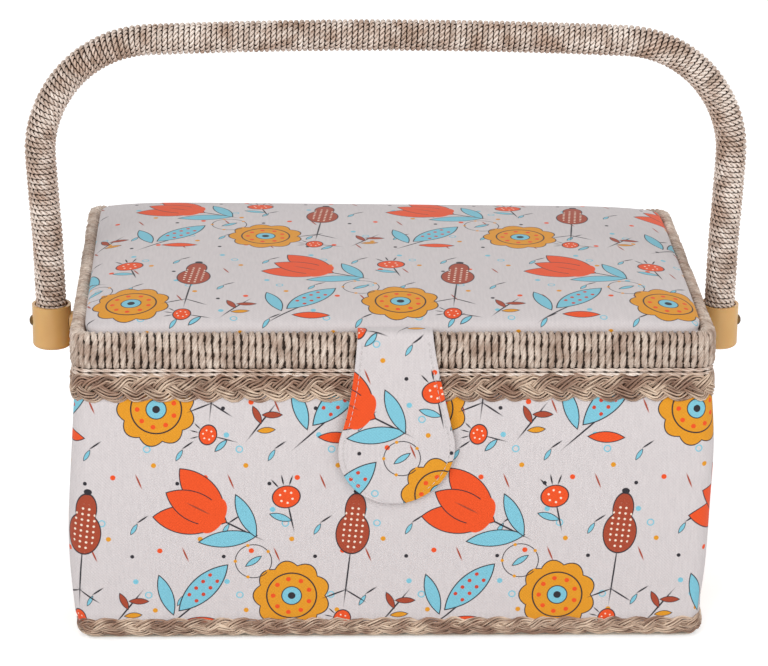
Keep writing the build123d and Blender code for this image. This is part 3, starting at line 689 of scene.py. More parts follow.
class PrintedCotton(Finish):
    """Plain-woven cotton with a matt pigment print: the weave breaks the ink up a little."""

    def __init__(self) -> None:
        """Weave the cloth, and print the small marks and the large motifs on it."""
        looks = {"Roughness": 0.88, "Sheen_Weight": 0.12, "Sheen_Roughness": 0.5, "Specular_IOR_Level": 0.25}
        super().__init__("printed_cotton", **looks)
        cloth = self.place("UV")
        threads, slub = self.weave(cloth, 0.8), self.noise(cloth, (900, 120, 1))
        colour = self.mixed(slub, "#C6BFC0", "#D3CCCC")
        for repeat in (FILLERS, GARDEN):
            colour = self.print_repeat(colour, cloth, repeat)
        faded = (threads * 0.5 + slub * 0.5).work("MULTIPLY_ADD", 0.12, 0.92)
        inked = add_node(self.tree, "ShaderNodeVectorMath", {0: colour, "Scale": faded}, operation="SCALE")
        self.show(inked.outputs[0], threads + slub * 0.6, 0.07)

    def print_repeat(
        self, colour: bpy.types.NodeSocket, cloth: Arrow, repeat: Repeat
    ) -> bpy.types.NodeSocket:
        """Print a repeat over a colour.

        Args:
            colour: The cloth's colour so far.
            cloth: The cloth's own map in metres.
            repeat: The repeat to print.

        Returns:
            The colour with the repeat on it.
        """
        x, y, _ = cloth.work("MULTIPLY", (1 / MM / repeat.wide, 1 / MM / repeat.tall, 0)).parts()
        moved = {0: y.work("FLOOR").work("MULTIPLY_ADD", 0.5, x), 1: y}
        joined = Arrow(self.tree, add_node(self.tree, "ShaderNodeCombineXYZ", moved).outputs[0])
        share = joined.work("FRACTION").work("SUBTRACT", (0.5, 0.5, 0))
        cell = share.work("MULTIPLY", (repeat.wide, repeat.tall, 0))
        for motif in repeat.motifs:
            turn = math.radians(motif.angle)
            for stamp in motif.stamps:
                x = motif.x + motif.size * (stamp.x * math.cos(turn) - stamp.y * math.sin(turn))
                y = motif.y + motif.size * (stamp.x * math.sin(turn) + stamp.y * math.cos(turn))
                place = cell.seen_from(x, y, stamp.angle + motif.angle)
                outside = self.outside(place, stamp, motif.size)
                if stamp.line:
                    colour = self.mixed(outside.inside(), colour, Ink.DARK.value)
                    outside = outside + stamp.line
                share = outside.inside()
                if stamp.mark is Mark.SPECKS:
                    spacing = stamp.count * motif.size
                    share = (place.repeated(spacing, spacing).length() - spacing * 0.2).inside() * share
                colour = self.mixed(share, colour, stamp.ink.value)
        return colour

    def outside(self, place: Arrow, stamp: Stamp, size: float) -> Field:
        """Give the distance outside a shape, below zero inside.

        An oval's is the length of the squeezed place, a leaf is where two circles overlap, petals are
        a circle scalloped by a sine of the direction, and beads stand evenly on a circle.

        Args:
            place: The place from the shape's middle, turned to its own axes.
            stamp: The shape.
            size: How much the motif is scaled.

        Returns:
            The distance in millimetres.
        """
        wide, tall = stamp.wide * size, stamp.tall * size
        if stamp.mark in (Mark.OVAL, Mark.SPECKS):
            return (place.work("DIVIDE", (wide, tall, 1)).length() - 1.0) * min(wide, tall)
        if stamp.mark is Mark.LEAF:
            radius = (wide * wide + tall * tall) / (2 * tall)
            return place.work("ABSOLUTE").work("ADD", (0, radius - tall, 0)).length() - radius
        if stamp.mark is Mark.RING:
            return (place.length() - wide).work("ABSOLUTE") - stamp.tall
        x, y, _ = place.parts()
        turned = y.work("ARCTAN2", x)
        if stamp.mark is Mark.PETALS:
            scallop = (turned * (stamp.count / 2)).work("SINE").work("ABSOLUTE")
            return place.length() - scallop.work("MULTIPLY_ADD", tall, wide - tall)
        across = ((turned * (stamp.count / TAU)).work("FRACT") - 0.5) * (TAU * wide / stamp.count)
        out = place.length() - wide
        return (across * across + out * out).work("SQRT") - tall


class PlainCloth(Finish):
    """Dyed plain-woven cloth, seen as a soft colour with threads that catch the light."""

    def __init__(self, name: str, low: str, high: str, thread: float = 0.8) -> None:
        """Weave the cloth.

        Args:
            name: What the cloth is called.
            low: Its darker colour.
            high: Its lighter colour.
            thread: Spacing of the threads in millimetres.
        """
        looks = {"Roughness": 0.85, "Sheen_Weight": 0.2, "Sheen_Roughness": 0.45, "Specular_IOR_Level": 0.25}
        super().__init__(name, **looks)
        cloth = self.place("UV")
        threads, slub = self.weave(cloth, thread), self.noise(cloth, (700, 90, 1), 3.0)
        self.show(self.mixed(threads * 0.4 + slub * 0.6, low, high), threads + slub * 0.5, 0.08)


class PaperCord(Finish):
    """Twisted kraft-paper cord, varnished lightly: creased strands, with painted highlights on the ridges and
    painted brown shade in the folds.
    """

    def __init__(self, name: str, low: str, middle: str, high: str) -> None:
        """Crease the paper along its length, and paint highlights on its ridges and shade in its folds.

        Args:
            name: What the cord is called.
            low: Colour of the painted shade in its folds.
            middle: Colour of the paper.
            high: Colour of the painted highlights on its ridges.
        """
        super().__init__(name, Specular_IOR_Level=0.35)
        along = self.place("UV")
        folds, crease = self.noise(along, (70, 6, 1), rough=0.5), self.noise(along, (300, 16, 1), rough=0.6)
        patches = self.noise(self.place(), (100, 100, 100))
        # Painted shade: the low colour darkens the folds
        base = self.mixed(folds.times_plus(2.6, -0.8), low, middle)
        # Painted highlight: the high colour lightens the ridges of the creases
        colour = self.mixed((patches * crease).times_plus(4.2, -0.72), base, high)
        self.show(colour, folds + crease * 0.4, 0.12, crease.work("MULTIPLY_ADD", 0.35, 0.3))


class Seagrass(Finish):
    """Plaited dried grass, glossy where a stalk lies flat, with painted highlights, long streaks, and painted
    shade in the dark splits along it.
    """

    def __init__(self) -> None:
        """Streak the stalks along their length, and paint their highlights and the shade in their splits."""
        super().__init__("seagrass_plait", Specular_IOR_Level=0.5)
        along = self.place("UV")
        stalks = self.noise(along, (38, 5, 1), 3.0, 0.6)
        streaks = self.noise(along, (95, 9, 1), rough=0.6)
        patches = self.noise(self.place(), (70, 70, 110))
        base = self.mixed(stalks.times_plus(3.4, -1.2), "#644636", "#A37F69")
        # Painted highlight: light glints where the streaks cross the patches
        highlit = self.mixed((streaks * patches).times_plus(7.0, -1.45), base, "#E0C8B0")
        # Painted shade: the darkest colour fills the splits along the stalks
        colour = self.mixed((stalks + streaks).times_plus(-5.0, 4.35), highlit, "#3E281B")
        self.show(colour, stalks + streaks * 0.5, 0.25, streaks.work("MULTIPLY_ADD", 0.4, 0.2))


class MouldedNylon(Finish):
    """Injection-moulded nylon: a faint mould grain, and light that sinks a little into an uneven colour."""

    def __init__(self, name: str, low: str, high: str) -> None:
        """Mould the plastic.

        Args:
            name: What the plastic is called.
            low: Its darker colour.
            high: Its lighter colour.
        """
        super().__init__(name, Subsurface_Weight=0.15, Subsurface_Scale=0.003)
        mass = self.noise(self.place(), (55, 55, 40))
        grain = self.noise(self.place(), (1400, 1400, 1400))
        rough = grain.work("MULTIPLY_ADD", 0.1, 0.19)
        self.show(self.mixed(mass, low, high), mass + grain * 0.12, 0.02, rough)


class ClearPolystyrene(Finish):
    """Clear polystyrene, moulded: see-through with a slight waviness from the mould."""

    def __init__(self) -> None:
        """Mould the plastic."""
        super().__init__("clear_polystyrene", Roughness=0.08, IOR=1.55, Transmission_Weight=0.9)
        waves = self.noise(self.place(), (35, 35, 35))
        self.show(self.mixed(waves, "#E8F0F2", "#F6FAFB"), waves, 0.12)


class WornMetal(Finish):
    """Sheet metal or wire: plated or drawn, with fine scratches and darker spots where hands reach it."""

    def __init__(self, name: str, low: str, high: str, polish: float) -> None:
        """Polish the metal and scratch it.

        Args:
            name: What the metal is called.
            low: Colour in its spots.
            high: Its own colour.
            polish: Its least roughness.
        """
        super().__init__(name, Metallic=1.0)
        spots = self.noise(self.place(), (380, 380, 380), 4.0)
        scratch = self.noise(self.place(), (300, 4000, 900))
        colour = self.mixed(spots.times_plus(2.0, -0.5), low, high)
        self.show(colour, scratch, 0.015, scratch.work("MULTIPLY_ADD", 0.3, polish))


class FeltedBoard(Finish):
    """Recycled grey board, foam, or the dark board whose colour paints the shade in gaps: a felted surface
    with fibres pressed into it.
    """

    def __init__(self, name: str, low: str, high: str) -> None:
        """Press the fibres.

        Args:
            name: What the board or foam is called.
            low: Its darker colour.
            high: Its lighter colour.
        """
        super().__init__(name, Roughness=0.9)
        fibres = self.noise(self.place(), (900, 900, 500), 5.0, 0.65)
        clouds = self.noise(self.place(), (60, 60, 60))
        self.show(self.mixed((fibres * clouds).times_plus(4.0, -0.5), low, high), fibres, 0.1)


class Wardrobe:
    """The finishes, each made once and handed out by name."""

    # The finish of each of the record's slots
    by_slot = {
        "board": "grey_board",
        "printed_cloth": "printed_cotton",
        "lining_cloth": "lining_cotton",
        "foam": "upholstery_foam",
        "plait": "seagrass_plait",
        "paper_cord": "handle_paper_cord",
        # The wooden frame shows only in the gaps between cords, and its dark finish paints the shade there
        "wood": "jute_backing",
        "steel": "plated_steel",
        "bronze": "antique_bronze",
        "brass": "brass",
        "tan_plastic": "tan_nylon",
        "clear_plastic": "clear_polystyrene",
    }

    def __init__(self) -> None:
        """Make every finish."""
        finishes = (
            PrintedCotton(),
            PlainCloth("lining_cotton", "#DCD2C4", "#F0E8DC"),
            PlainCloth("pincushion_cotton", "#C94A22", "#E4602F"),
            PlainCloth("elastic_webbing", "#D9D4CC", "#F2EEE8", 0.6),
            PlainCloth("stitching_thread", "#DAD5D4", "#EBE6E4", 0.5),
            # Each cord's first colour is painted shade in its folds, and its last a painted highlight on its
            # ridges
            PaperCord("handle_paper_cord", "#82664F", "#DCC0AE", "#FFF4EA"),
            PaperCord("band_paper_cord", "#846B5A", "#C1A897", "#E8D9CB"),
            Seagrass(),
            MouldedNylon("tan_nylon", "#C89857", "#DDB071"),
            ClearPolystyrene(),
            WornMetal("plated_steel", "#9FA2A4", "#CBCDCE", 0.2),
            WornMetal("antique_bronze", "#4E3A26", "#8E6E45", 0.26),
            WornMetal("brass", "#8F6B2C", "#CFA655", 0.16),
            FeltedBoard("grey_board", "#8E8478", "#B7AD9F"),
            # Dark board whose colour paints the shade in gaps between cords, bundles and the handle's turns
            FeltedBoard("jute_backing", "#1C120B", "#3A2719"),
            FeltedBoard("upholstery_foam", "#D8CDA8", "#EDE4C4"),
        )
        self.made = {finish.name: finish.material for finish in finishes}

    def dress(self, piece: bpy.types.Object, finish: str) -> None:
        """Give a piece one finish."""
        piece.data.materials.append(self.made[finish])

    def dress_nodes(self) -> None:
        """Give every carried-over node the finish of its slot in the record."""
        slots = {part["node"]: part["material_slot"] for part in frame["record"]["subparts"]}
        for name, node in frame["nodes"].items():
            finish = self.made[self.by_slot[slots[name]]]
            for place in node.material_slots:
                place.material = finish
            if not node.material_slots:
                node.data.materials.append(finish)


# Sub-assemblies


def puffed(piece: bpy.types.Object, held: np.ndarray, cap: float) -> None:
    """Blow a stuffed shape up with a cloth simulation, and keep the cloth's own small folds.

    Air pressure acts for twenty frames without gravity, and a corner may move by the cap at most.

    Args:
        piece: The closed shape.
        held: Which corners stay where they are.
        cap: The most that a corner may move, in millimetres.
    """
    frames = 20
    scene = bpy.context.scene
    piece.vertex_groups.new(name="held").add(np.flatnonzero(held).tolist(), 1.0, "REPLACE")
    cloth = piece.modifiers.new("stuffing", "CLOTH")
    settings = {
        "quality": 6,
        "mass": 0.25,
        "tension_stiffness": 18,
        "compression_stiffness": 18,
        "shear_stiffness": 8,
        "bending_stiffness": 0.6,
        "use_pressure": True,
        "uniform_pressure_force": 4.0,
        "vertex_group_mass": "held",
    }
    for key, value in settings.items():
        setattr(cloth.settings, key, value)
    cloth.settings.effector_weights.gravity = 0.0
    cloth.point_cache.frame_start, cloth.point_cache.frame_end = 1, frames
    start = np.empty(len(piece.data.vertices) * 3)
    piece.data.vertices.foreach_get("co", start)
    for number in range(1, frames + 1):
        scene.frame_set(number)
    ended = np.empty_like(start)
    blown = piece.evaluated_get(bpy.context.evaluated_depsgraph_get())
    blown.data.vertices.foreach_get("co", ended)
    moved = (ended - start).reshape(-1, 3)
    length = np.linalg.norm(moved, axis=1, keepdims=True)
    share = np.minimum(1.0, cap * MM / np.maximum(length, 1e-9))
    piece.modifiers.remove(cloth)
    piece.data.vertices.foreach_set("co", (start.reshape(-1, 3) + moved * share).ravel())
    piece.data.update()
    scene.frame_set(1)
    LOG.info("%s: stuffed, moved %.2f mm on average", piece.name, float((length * share).mean() / MM))


@dataclass
class CoveredBox:
    """The box's cloth, lining and padded floor."""

    low: float = 7.6
    braid_low: float = 11.0
    braid_high: float = 120.8
    high: float = 134.2
    inset: float = 1.4
    board_face: float = 1.9
    bulge: float = 1.8
    snap: float = 92.25
    tuck_top: float = 121.2
    tuck_foot: float = 11.8
    # Size, height and spread of the bell curves that make the left end, the right end and its foot fuller
    fullness: tuple = ((2.2, 42.0, 1600.0), (1.5, 100.0, 625.0), (-1.3, 10.0, 256.0))
    lining_face: float = 7.25
    lining_top: float = 136.75
    pad_size: tuple = (285.2, 185.2)
    pad_heights: tuple = (4.7, 6.3)
    pad_crown: float = 0.9

    def cover(self) -> bpy.types.Object:
        """Stretch the printed cloth round the walls.

        The cloth stands out by half a sine wave between the two plaits, is drawn in where the snap is
        riveted through it, and puckers towards its two tacked edges. A bell curve of the height makes it
        fuller low on the left end and high on the right end, as on the real box.

        Returns:
            The cloth.
        """
        columns = 600
        points, outward = BOX.walk(np.arange(columns) / columns)
        heights = np.linspace(self.low, self.high, 56)[:, None]
        stand = np.sin(math.pi * ramp(heights, self.braid_low, self.braid_high - self.braid_low))
        full = (self.bulge + 0.22 * wander(columns, 9, 5)) * stand
        full = full + 0.22 * wander(columns, 90, 3) * bell(heights, self.braid_low, 90)
        full = full + 0.16 * wander(columns, 110, 4) * bell(heights, self.braid_high, 80)
        left, right, right_foot = (size * bell(heights, *rest) for size, *rest in self.fullness)
        left = left * np.clip(-outward[:, 0], 0, 1) ** 2
        right = (right + right_foot) * np.clip(outward[:, 0], 0, 1) ** 2
        tucked = 0.9 * ramp(heights, self.tuck_top, 2.5) + ramp(heights, self.tuck_foot, -2.6)
        drawn = bell(points[:, 0], 0, 200) * bell(heights, self.snap, 200) * (outward[:, 1] < -0.9)
        inset = self.inset - full * (1 - drawn) + 0.3 * drawn - left - right + tucked
        inset = np.minimum(inset, self.board_face + tucked)
        cloth = mount(girdle("body_cloth", inset, heights, heights[:, 0], columns), "box", "outer_cover")
        thicken(cloth, 0.5)
        flat = (BOX.girth * MM, (self.high - self.low) * MM)
        return cloth

    def lining(self) -> bpy.types.Object:
        """Line the inside from the floor up, and over the top of the wall by a quarter circle.

        The cloth stands off the wall by random waves round the box times half a sine of its height.

        Returns:
            The lining.
        """
        columns, rows, fold, face, top = 420, 40, 0.75, self.lining_face, self.lining_top
        turn = np.linspace(0, math.pi / 2, 6)
        rise = [np.linspace(5.0, 134.5, rows), top - fold + fold * np.sin(turn), [top, top]]
        inset = [np.full(rows, face), face - fold + fold * np.cos(turn), [4.5, 2.7]]
        section = np.stack([np.concatenate(rise), np.concatenate(inset)], -1)
        rise, inset, length = section[:, :1], section[:, 1:], length_so_far(section)
        wave = 0.35 * wander(columns, 26, 8) * np.sin(math.pi * ramp(rise, 0, 134))
        cloth = girdle("box_lining", inset + np.abs(wave), rise, length, columns, flip=True)
        mount(cloth, "box", "inner_lining")
        BOX.girth * MM
        return cloth

    def floor(self) -> bpy.types.Object:
        """Pad the floor with a thin stuffed pad.

        Its crown falls off by one minus the fourth powers of the distance from the middle, and its edge
        is rounded by the root of one minus the tenth powers.

        Returns:
            The pad.
        """
        low, high = self.pad_heights
        u, v = np.meshgrid(*(np.sin(np.linspace(-math.pi / 2, math.pi / 2, count)) for count in (60, 44)))
        half = (high - low) / 2 * np.sqrt(np.clip((1 - u**10) * (1 - v**10), 0, 1))
        top = (low + high) / 2 + half + self.pad_crown * (1 - u**4) * (1 - v**4)
        flat = np.stack([u, v], -1) * np.array(self.pad_size) / 2
        bottom = (low + high) / 2 - half
        faces = [np.concatenate([flat, height[..., None]], -1) for height in (top, bottom)]
        places = np.stack([faces[0], faces[1][:, ::-1]])
        pad = surface("floor_cushion", places, places[..., :2] * MM)
        puffed(pad, places[..., 2].ravel() < (low + high) / 2, 0.5)
        mount(pad, "box", "floor_pad")
        return pad


@dataclass
class Plait:
    """A flat plait of three bundles of grass that runs round the box, over a dark strip whose colour paints
    the shade between the bundles.
    """

    name: str
    node: str
    middle: float
    inset: float
    tuck: float
    seed: int
    reach: float = 3.9
    top: float = 5.2
    deep: float = 0.78
    bundle: tuple[float, float] = (2.2, 0.62)
    foot: float = -5.2
    behind: float = 0.75
    stray: float = 0.35
    stalk: float = 0.5
    stalk_stray: float = 0.16
    stalks: int = 8
    spirals: int = 20
    periods: int = 30
    stations: int = 780

    def below(self, side: np.ndarray) -> np.ndarray:
        """Give how far places lie below the plait's middle, in steps of six millimetres."""
        return np.clip(-side / 6.0, 0, 1.2)

    def section(self, side: np.ndarray) -> tuple[np.ndarray, np.ndarray]:
        """Give the inset and height of a place across the plait: it tucks inwards towards its foot."""
        tucked = self.tuck * self.below(side)
        return self.inset + tucked * self.below(side), self.middle + side * (1 - 0.06 * tucked)

    def lines(self) -> tuple[np.ndarray, np.ndarray, np.ndarray]:
        """Lay out the bundles' middle lines.

        A bundle's middle swings across the plait as the arcsine of most of its phase's sine, which is a
        zigzag with rounded turns, and in and out as the sine of twice the phase, so it lies on top from
        the middle to either edge. The three are a third of a period apart.

        Returns:
            The lines, and their directions across and outward.
        """
        shares = np.arange(self.stations) / self.stations
        points, outward = BOX.walk(shares)
        phase = TAU * (self.periods * shares + np.arange(3)[:, None] / 3)
        stray = np.stack([wander(self.stations, 90, self.seed + i) for i in range(3)])
        round_off = 0.93
        zigzag = np.arcsin(round_off * np.sin(phase + 0.3 * stray)) / math.asin(round_off)
        side = self.reach * zigzag + self.stray * stray
        inset, height = self.section(side)
        centres = lifted(points[None], outward[None], inset - self.deep * np.sin(2 * phase), height)
        along = unit(np.roll(centres, -1, 1) - np.roll(centres, 1, 1))
        lean = 0.3 * np.cos(phase) - 0.16 * self.tuck * self.below(side)
        out = unit(np.pad(outward, ((0, 0), (0, 1))) + lean[..., None] * UP)
        across = unit(np.cross(along, out))
        return centres, across, np.cross(across, along)

    def build(self) -> bpy.types.Object:
        """Plait the bundles: the stalks of a bundle spiral slowly round its middle line on a flat oval.

        Returns:
            The plait.
        """
        centres, across, out = (part[:, None] for part in self.lines())
        place = np.arange(self.stalks)[:, None] / self.stalks
        around = TAU * (place + self.spirals * np.arange(self.stations) / self.stations)
        count = 3 * self.stalks
        own = [wander(self.stations, 150, self.seed + 7 + k + 40 * i) for i in (0, 1) for k in range(count)]
        own = np.reshape(own, (2, 3, self.stalks, self.stations))
        wide = self.bundle[0] * np.cos(around) + self.stalk_stray * own[0]
        high = self.bundle[1] * np.sin(around) + self.stalk_stray * own[1]
        middle = centres + wide[..., None] * across + high[..., None] * out
        radius = self.stalk * (1 + 0.18 * own[1])
        sides = 5
        rings = carried(middle, across, out, (radius * 1.15, radius), sides).reshape(count, -1, sides, 3)
        own_start = 377
        lengths = np.linspace(0, BOX.girth, self.stations + 1) + np.arange(count)[:, None] * own_start
        plait = surface(self.name, rings, tube_map(lengths, sides), closed_rows=True, closed_columns=True)
        return mount(plait, "box", self.node)

    def shade_strip(self) -> bpy.types.Object:
        """Lay the dark strip that paints the shade between the bundles, and behind the cords above them.

        Returns:
            The strip.
        """
        side = np.linspace(self.foot, self.top, 12)
        inset, height = self.section(side[:, None])
        return mount(girdle(self.name + "_backing", inset + self.behind, height, side, 300), "box")


@dataclass
class RimCords:
    """Two rows of twisted paper cord between the plait and the lid."""

    inset: float = 1.45
    twist: Twist = Twist(10.4, 0.44, (0.5, 0.6), 7)
    stations: int = 1100

    def build(self, row: int, name: str, node: str, height: float) -> bpy.types.Object:
        """Lay one cord round the box.

        Args:
            row: Number of the cord, which its small strays come from.
            name: Name of the new piece.
            node: The node that it replaces.
            height: Height of its middle.

        Returns:
            The cord.
        """
        points, outward = BOX.walk(np.arange(self.stations) / self.stations)
        inset = self.inset + 0.12 * wander(self.stations, 60, 20 + row)
        path = lifted(points, outward, inset, height + 0.1 * wander(self.stations, 50, 30 + row))
        rings, mapped = self.twist.lay(path, np.pad(outward, ((0, 0), (0, 1))), closed=True)
        return mount(surface(name, rings, mapped, closed_rows=True, closed_columns=True), "box", node)


@dataclass
class LidBand:
    """The cord wound upright round the lid's frame: one long cord of two strands."""

    turns: int = 298
    stations: int = 26
    outer: float = 1.36
    inner: float = 5.8
    low: float = 138.75
    high: float = 152.8
    corner: float = 1.2
    hang: float = 1.0
    twist: Twist = Twist(14.5, 0.52, (1.04, 1.3), 6)
    # How far the turns slip, lean and bow along the frame, as shares of a turn
    sway: tuple = (0.03, 0.04, 0.05)

    def loop(self) -> tuple[np.ndarray, np.ndarray, np.ndarray, np.ndarray]:
        """Lay out one turn round the section of the frame.

        The turn is a rounded rectangle walked up the outside, over the top and down the inside. The cord
        stays upright outside and moves along the frame on the other three sides.

        Returns:
            The turn's inset, height, outward direction in the section and share of its advance.
        """
        section = Plan(self.inner - self.outer, self.high - self.low, self.corner)
        points, outward = section.walk((np.arange(self.stations) + 0.5) / self.stations)
        inset = (self.inner + self.outer) / 2 + points[:, 0]
        height = (self.high + self.low) / 2 + points[:, 1]
        outside = ramp(inset, self.inner, self.outer - self.inner)
        height = height - self.hang * outside * (self.high - height) / (self.high - self.low)
        steps = 1.0 - 0.95 * np.clip(-outward[:, 0], 0, 1)
        return inset, height, outward, np.cumsum(steps) / steps.sum()

    def build(self) -> bpy.types.Object:
        """Wind the cord round the frame: each turn leans and bows a little in its own way.

        It settles with the lid where it can, which is nowhere lower than the frame under it.

        Returns:
            The winding.
        """
        inset, height, outward, advance = self.loop()
        turn = np.repeat(np.arange(self.turns), self.stations)
        rng = np.random.default_rng(41)
        slip, lean, bow = rng.normal(0, 1, (3, self.turns)) * np.array(self.sway)[:, None]
        level = np.tile((height - self.low) / (self.high - self.low) * 2 - 1, self.turns)
        sway = slip[turn] + lean[turn] * level + bow[turn] * np.sin(math.pi * level)
        points, plan_out = BOX.walk(((turn + np.tile(advance, self.turns) + sway) / self.turns) % 1.0)
        depth = np.tile(inset, self.turns) + 0.12 * rng.normal(0, 1, self.turns)[turn].clip(-1.5, 1.5)
        path = lifted(points, plan_out, depth, np.tile(height, self.turns))
        path[:, 2] += np.maximum(settled(path), 0.0) * (0.75 + 0.25 * level)
        section_out = np.tile(outward, (self.turns, 1))
        out = np.concatenate([-plan_out * section_out[:, :1], section_out[:, 1:]], -1)
        rings, mapped = self.twist.lay(path, out, closed=True)
        band = surface("lid_band_winding", rings, mapped, closed_rows=True, closed_columns=True)
        return mount(band, "lid", "lid_band_wrap")


@dataclass
class PaddedLid:
    """The crowned lid panel with its printed cloth, and what hangs under it."""

    half_size: tuple = (142.5, 92.5)
    side_top: float = 152.4
    crown: float = 10.4
    overhang: tuple = (3.2, 1.4)
    corner: float = 10.5
    edge: float = 3.2
    flat_inset: float = 56.0
    base: float = 147.7
    print_shift: tuple = (0.30, 0.17)
    lining_half: tuple = (142.4, 92.4)
    lining_level: float = 143.75
    pocket_middle: float = 58.0
    pocket_level: float = 143.3
    elastic_place: tuple = (-58.0, 139.95)
    cushion_middle: float = -76.0
    cushion_half: tuple = (42.4, 27.4)
    sewn_level: float = 143.2

    def rise(self, inward: np.ndarray) -> np.ndarray:
        """Give the share of the crown at a distance in from a side, steep at first and then flat."""
        return (1 - (1 - ramp(inward, 0, self.flat_inset)) ** 2.5) ** 0.32

    def panel(self) -> bpy.types.Object:
        """Upholster the panel, and let the stuffing push its cloth out.

        The crown is the product of the rise from each pair of sides and of the square root of the
        distance in from a rounded rectangle, on a grid that is closer together near the sides. Above
        the band the shape swells outwards over it, and below it goes straight down inside the band to
        a flat underside.

        Returns:
            The pad, mapped by the length over its cloth from the middle.
        """
        half = np.array(self.half_size)
        across, along = np.linspace(-1, 1, 99), np.linspace(-1, 1, 71)
        x = np.sign(across) * (1 - (1 - np.abs(across)) ** 1.5) * half[0]
        y = np.sign(along) * (1 - (1 - np.abs(along)) ** 1.6) * half[1]
        flat = np.stack(np.meshgrid(x, y), -1)
        inward = half - np.abs(flat)
        cut = self.corner - np.linalg.norm(np.clip(self.corner - inward, 0, None), axis=-1)
        lift = self.rise(inward).prod(-1) * np.sqrt(ramp(cut, 0, self.edge))
        swell = 1 + self.overhang / half * np.clip(lift * 3.2, 0, 1)[..., None]
        top = np.concatenate([flat * swell, (self.side_top + self.crown * lift)[..., None]], -1)
        padded = np.pad(top, ((1, 1), (1, 1), (0, 0)), mode="edge")
        padded[[0, -1], :, 2] = padded[:, [0, -1], 2] = self.base
        u, v = length_so_far(padded, 1), length_so_far(padded, 0)
        u = u - u[:, [u.shape[1] // 2]] + self.print_shift[0]
        v = v - v[[v.shape[0] // 2]] + self.print_shift[1]
        under = padded[:, ::-1].copy()
        under[..., 2] = self.base
        places = np.stack([padded, under])
        held = places[..., 2].ravel() < self.side_top + 0.5
        places[..., 2] += settled(places) * ramp(places[..., 2], self.base, self.side_top - self.base)
        pad = surface("lid_pad", places, np.stack([np.stack([u, v], -1), under[..., :2]]) * MM)
        puffed(pad, held, 0.9)
        finer = pad.modifiers.new("finer", "SUBSURF")
        finer.levels = finer.render_levels = 1
        mount(pad, "lid", "lid_cover", "lid_padding")
        return pad

    def lining(self) -> bpy.types.Object:
        """Line the underside: the cloth sags between its edges by sixth powers and two slow waves.

        Returns:
            The lining.
        """
        wide, deep = self.lining_half
        x, y = np.meshgrid(np.linspace(-wide, wide, 70), np.linspace(-deep, deep, 50))
        waves = 0.6 + 0.4 * np.sin(x / 17) * np.sin(y / 21)
        sag = 0.35 * (1 - (x / wide) ** 6) * (1 - (y / deep) ** 6) * waves
        places = np.stack([x, y, self.lining_level - sag], -1)[None]
        cloth = surface("lid_underside_cloth", places, places[..., :2] * MM, flip=True)
        thicken(cloth, 0.6)
        mount(cloth, "lid", "lid_lining")
        return cloth

    def pocket(self) -> bpy.types.Object:
        """Gather the pocket: sine folds are deepest at its elastic edge and lie flat at the other three.

        Returns:
            The pocket.
        """
        half, mouth, top, folds = 74.5, -62.5, 63.5, 19
        x, y = np.meshgrid(np.linspace(-half, half, 300), np.linspace(mouth, top, 60))
        share = ramp(y, top, mouth - top)
        fold = 0.5 + 0.5 * np.sin(x / (2 * half) * TAU * folds + 0.6 * np.sin(y / 18))
        depth = 0.35 + (0.25 + 1.25 * share**1.5) * fold * ramp(np.abs(x), half, -14) ** 0.5 + 0.25 * share
        places = np.stack([x + self.pocket_middle, y, self.pocket_level - depth], -1)
        length = length_so_far(places, 1)
        mapped = np.stack([length, y], -1)[None] * MM
        cloth = mount(surface("gathered_pocket", places[None], mapped, flip=True), "lid", "lid_pocket")
        return cloth

    def elastic(self) -> bpy.types.Object:
        """Run the ruched elastic along the pocket's mouth: its radius swells by a sine between gathers.

        Returns:
            The elastic.
        """
        half, gathers, sides = 69, 46, 14
        x = np.linspace(-half, half, 420)
        ends = np.sqrt(ramp(np.abs(x), half, -1.2))
        radius = 1.38 * (1 + 0.16 * np.sin(x / (2 * half) * TAU * gathers)) * ends + 0.01
        side, level = (np.full(x.size, place) for place in self.elastic_place)
        centre = np.stack([x + self.pocket_middle, side, level], -1)
        rings = carried(centre, BACK, UP, (radius, radius), sides)[None]
        band = surface("pocket_mouth_elastic", rings, tube_map((x + half)[None], sides), closed_columns=True)
        return mount(band, "lid", "pocket_elastic")

    def cushion(self) -> bpy.types.Object:
        """Stuff the pin cushion, which is flat where it is sewn to the lining.

        Its outline is a circle of fifth powers, which shrinks by a power of the cosine as the pillow
        drops by a power of the sine, and sine pinches fade away from the seam.

        Returns:
            The cushion.
        """
        columns, pinches = 96, 14
        angle = np.linspace(0, TAU, columns, endpoint=False)
        level = np.linspace(0, 1, 30)[:, None]
        square = (np.abs(np.cos(angle)) ** 5 + np.abs(np.sin(angle)) ** 5) ** (-1 / 5)
        reach = np.cos(level * math.pi / 2) ** 0.55 * (1 - 0.012 * np.sin(angle * pinches) * (1 - level))
        x = self.cushion_middle + self.cushion_half[0] * square * np.cos(angle) * reach
        y = self.cushion_half[1] * square * np.sin(angle) * reach
        z = self.sewn_level - 9.6 * np.sin(level * math.pi / 2) ** 0.8 + 0 * angle
        seam = np.broadcast_to([self.cushion_middle, 0, self.sewn_level], (1, columns, 3))
        places = np.concatenate([seam, np.stack([x, y, z], -1)])[None]
        mapped = np.concatenate([places[..., :2], places[:, :, :1, :2]], 2) * MM
        cushion = surface("stuffed_pin_cushion", places, mapped, closed_columns=True, flip=True)
        puffed(cushion, places[..., 2].ravel() > self.sewn_level - 0.6, 1.0)
        mount(cushion, "lid", "pin_cushion")
        return cushion


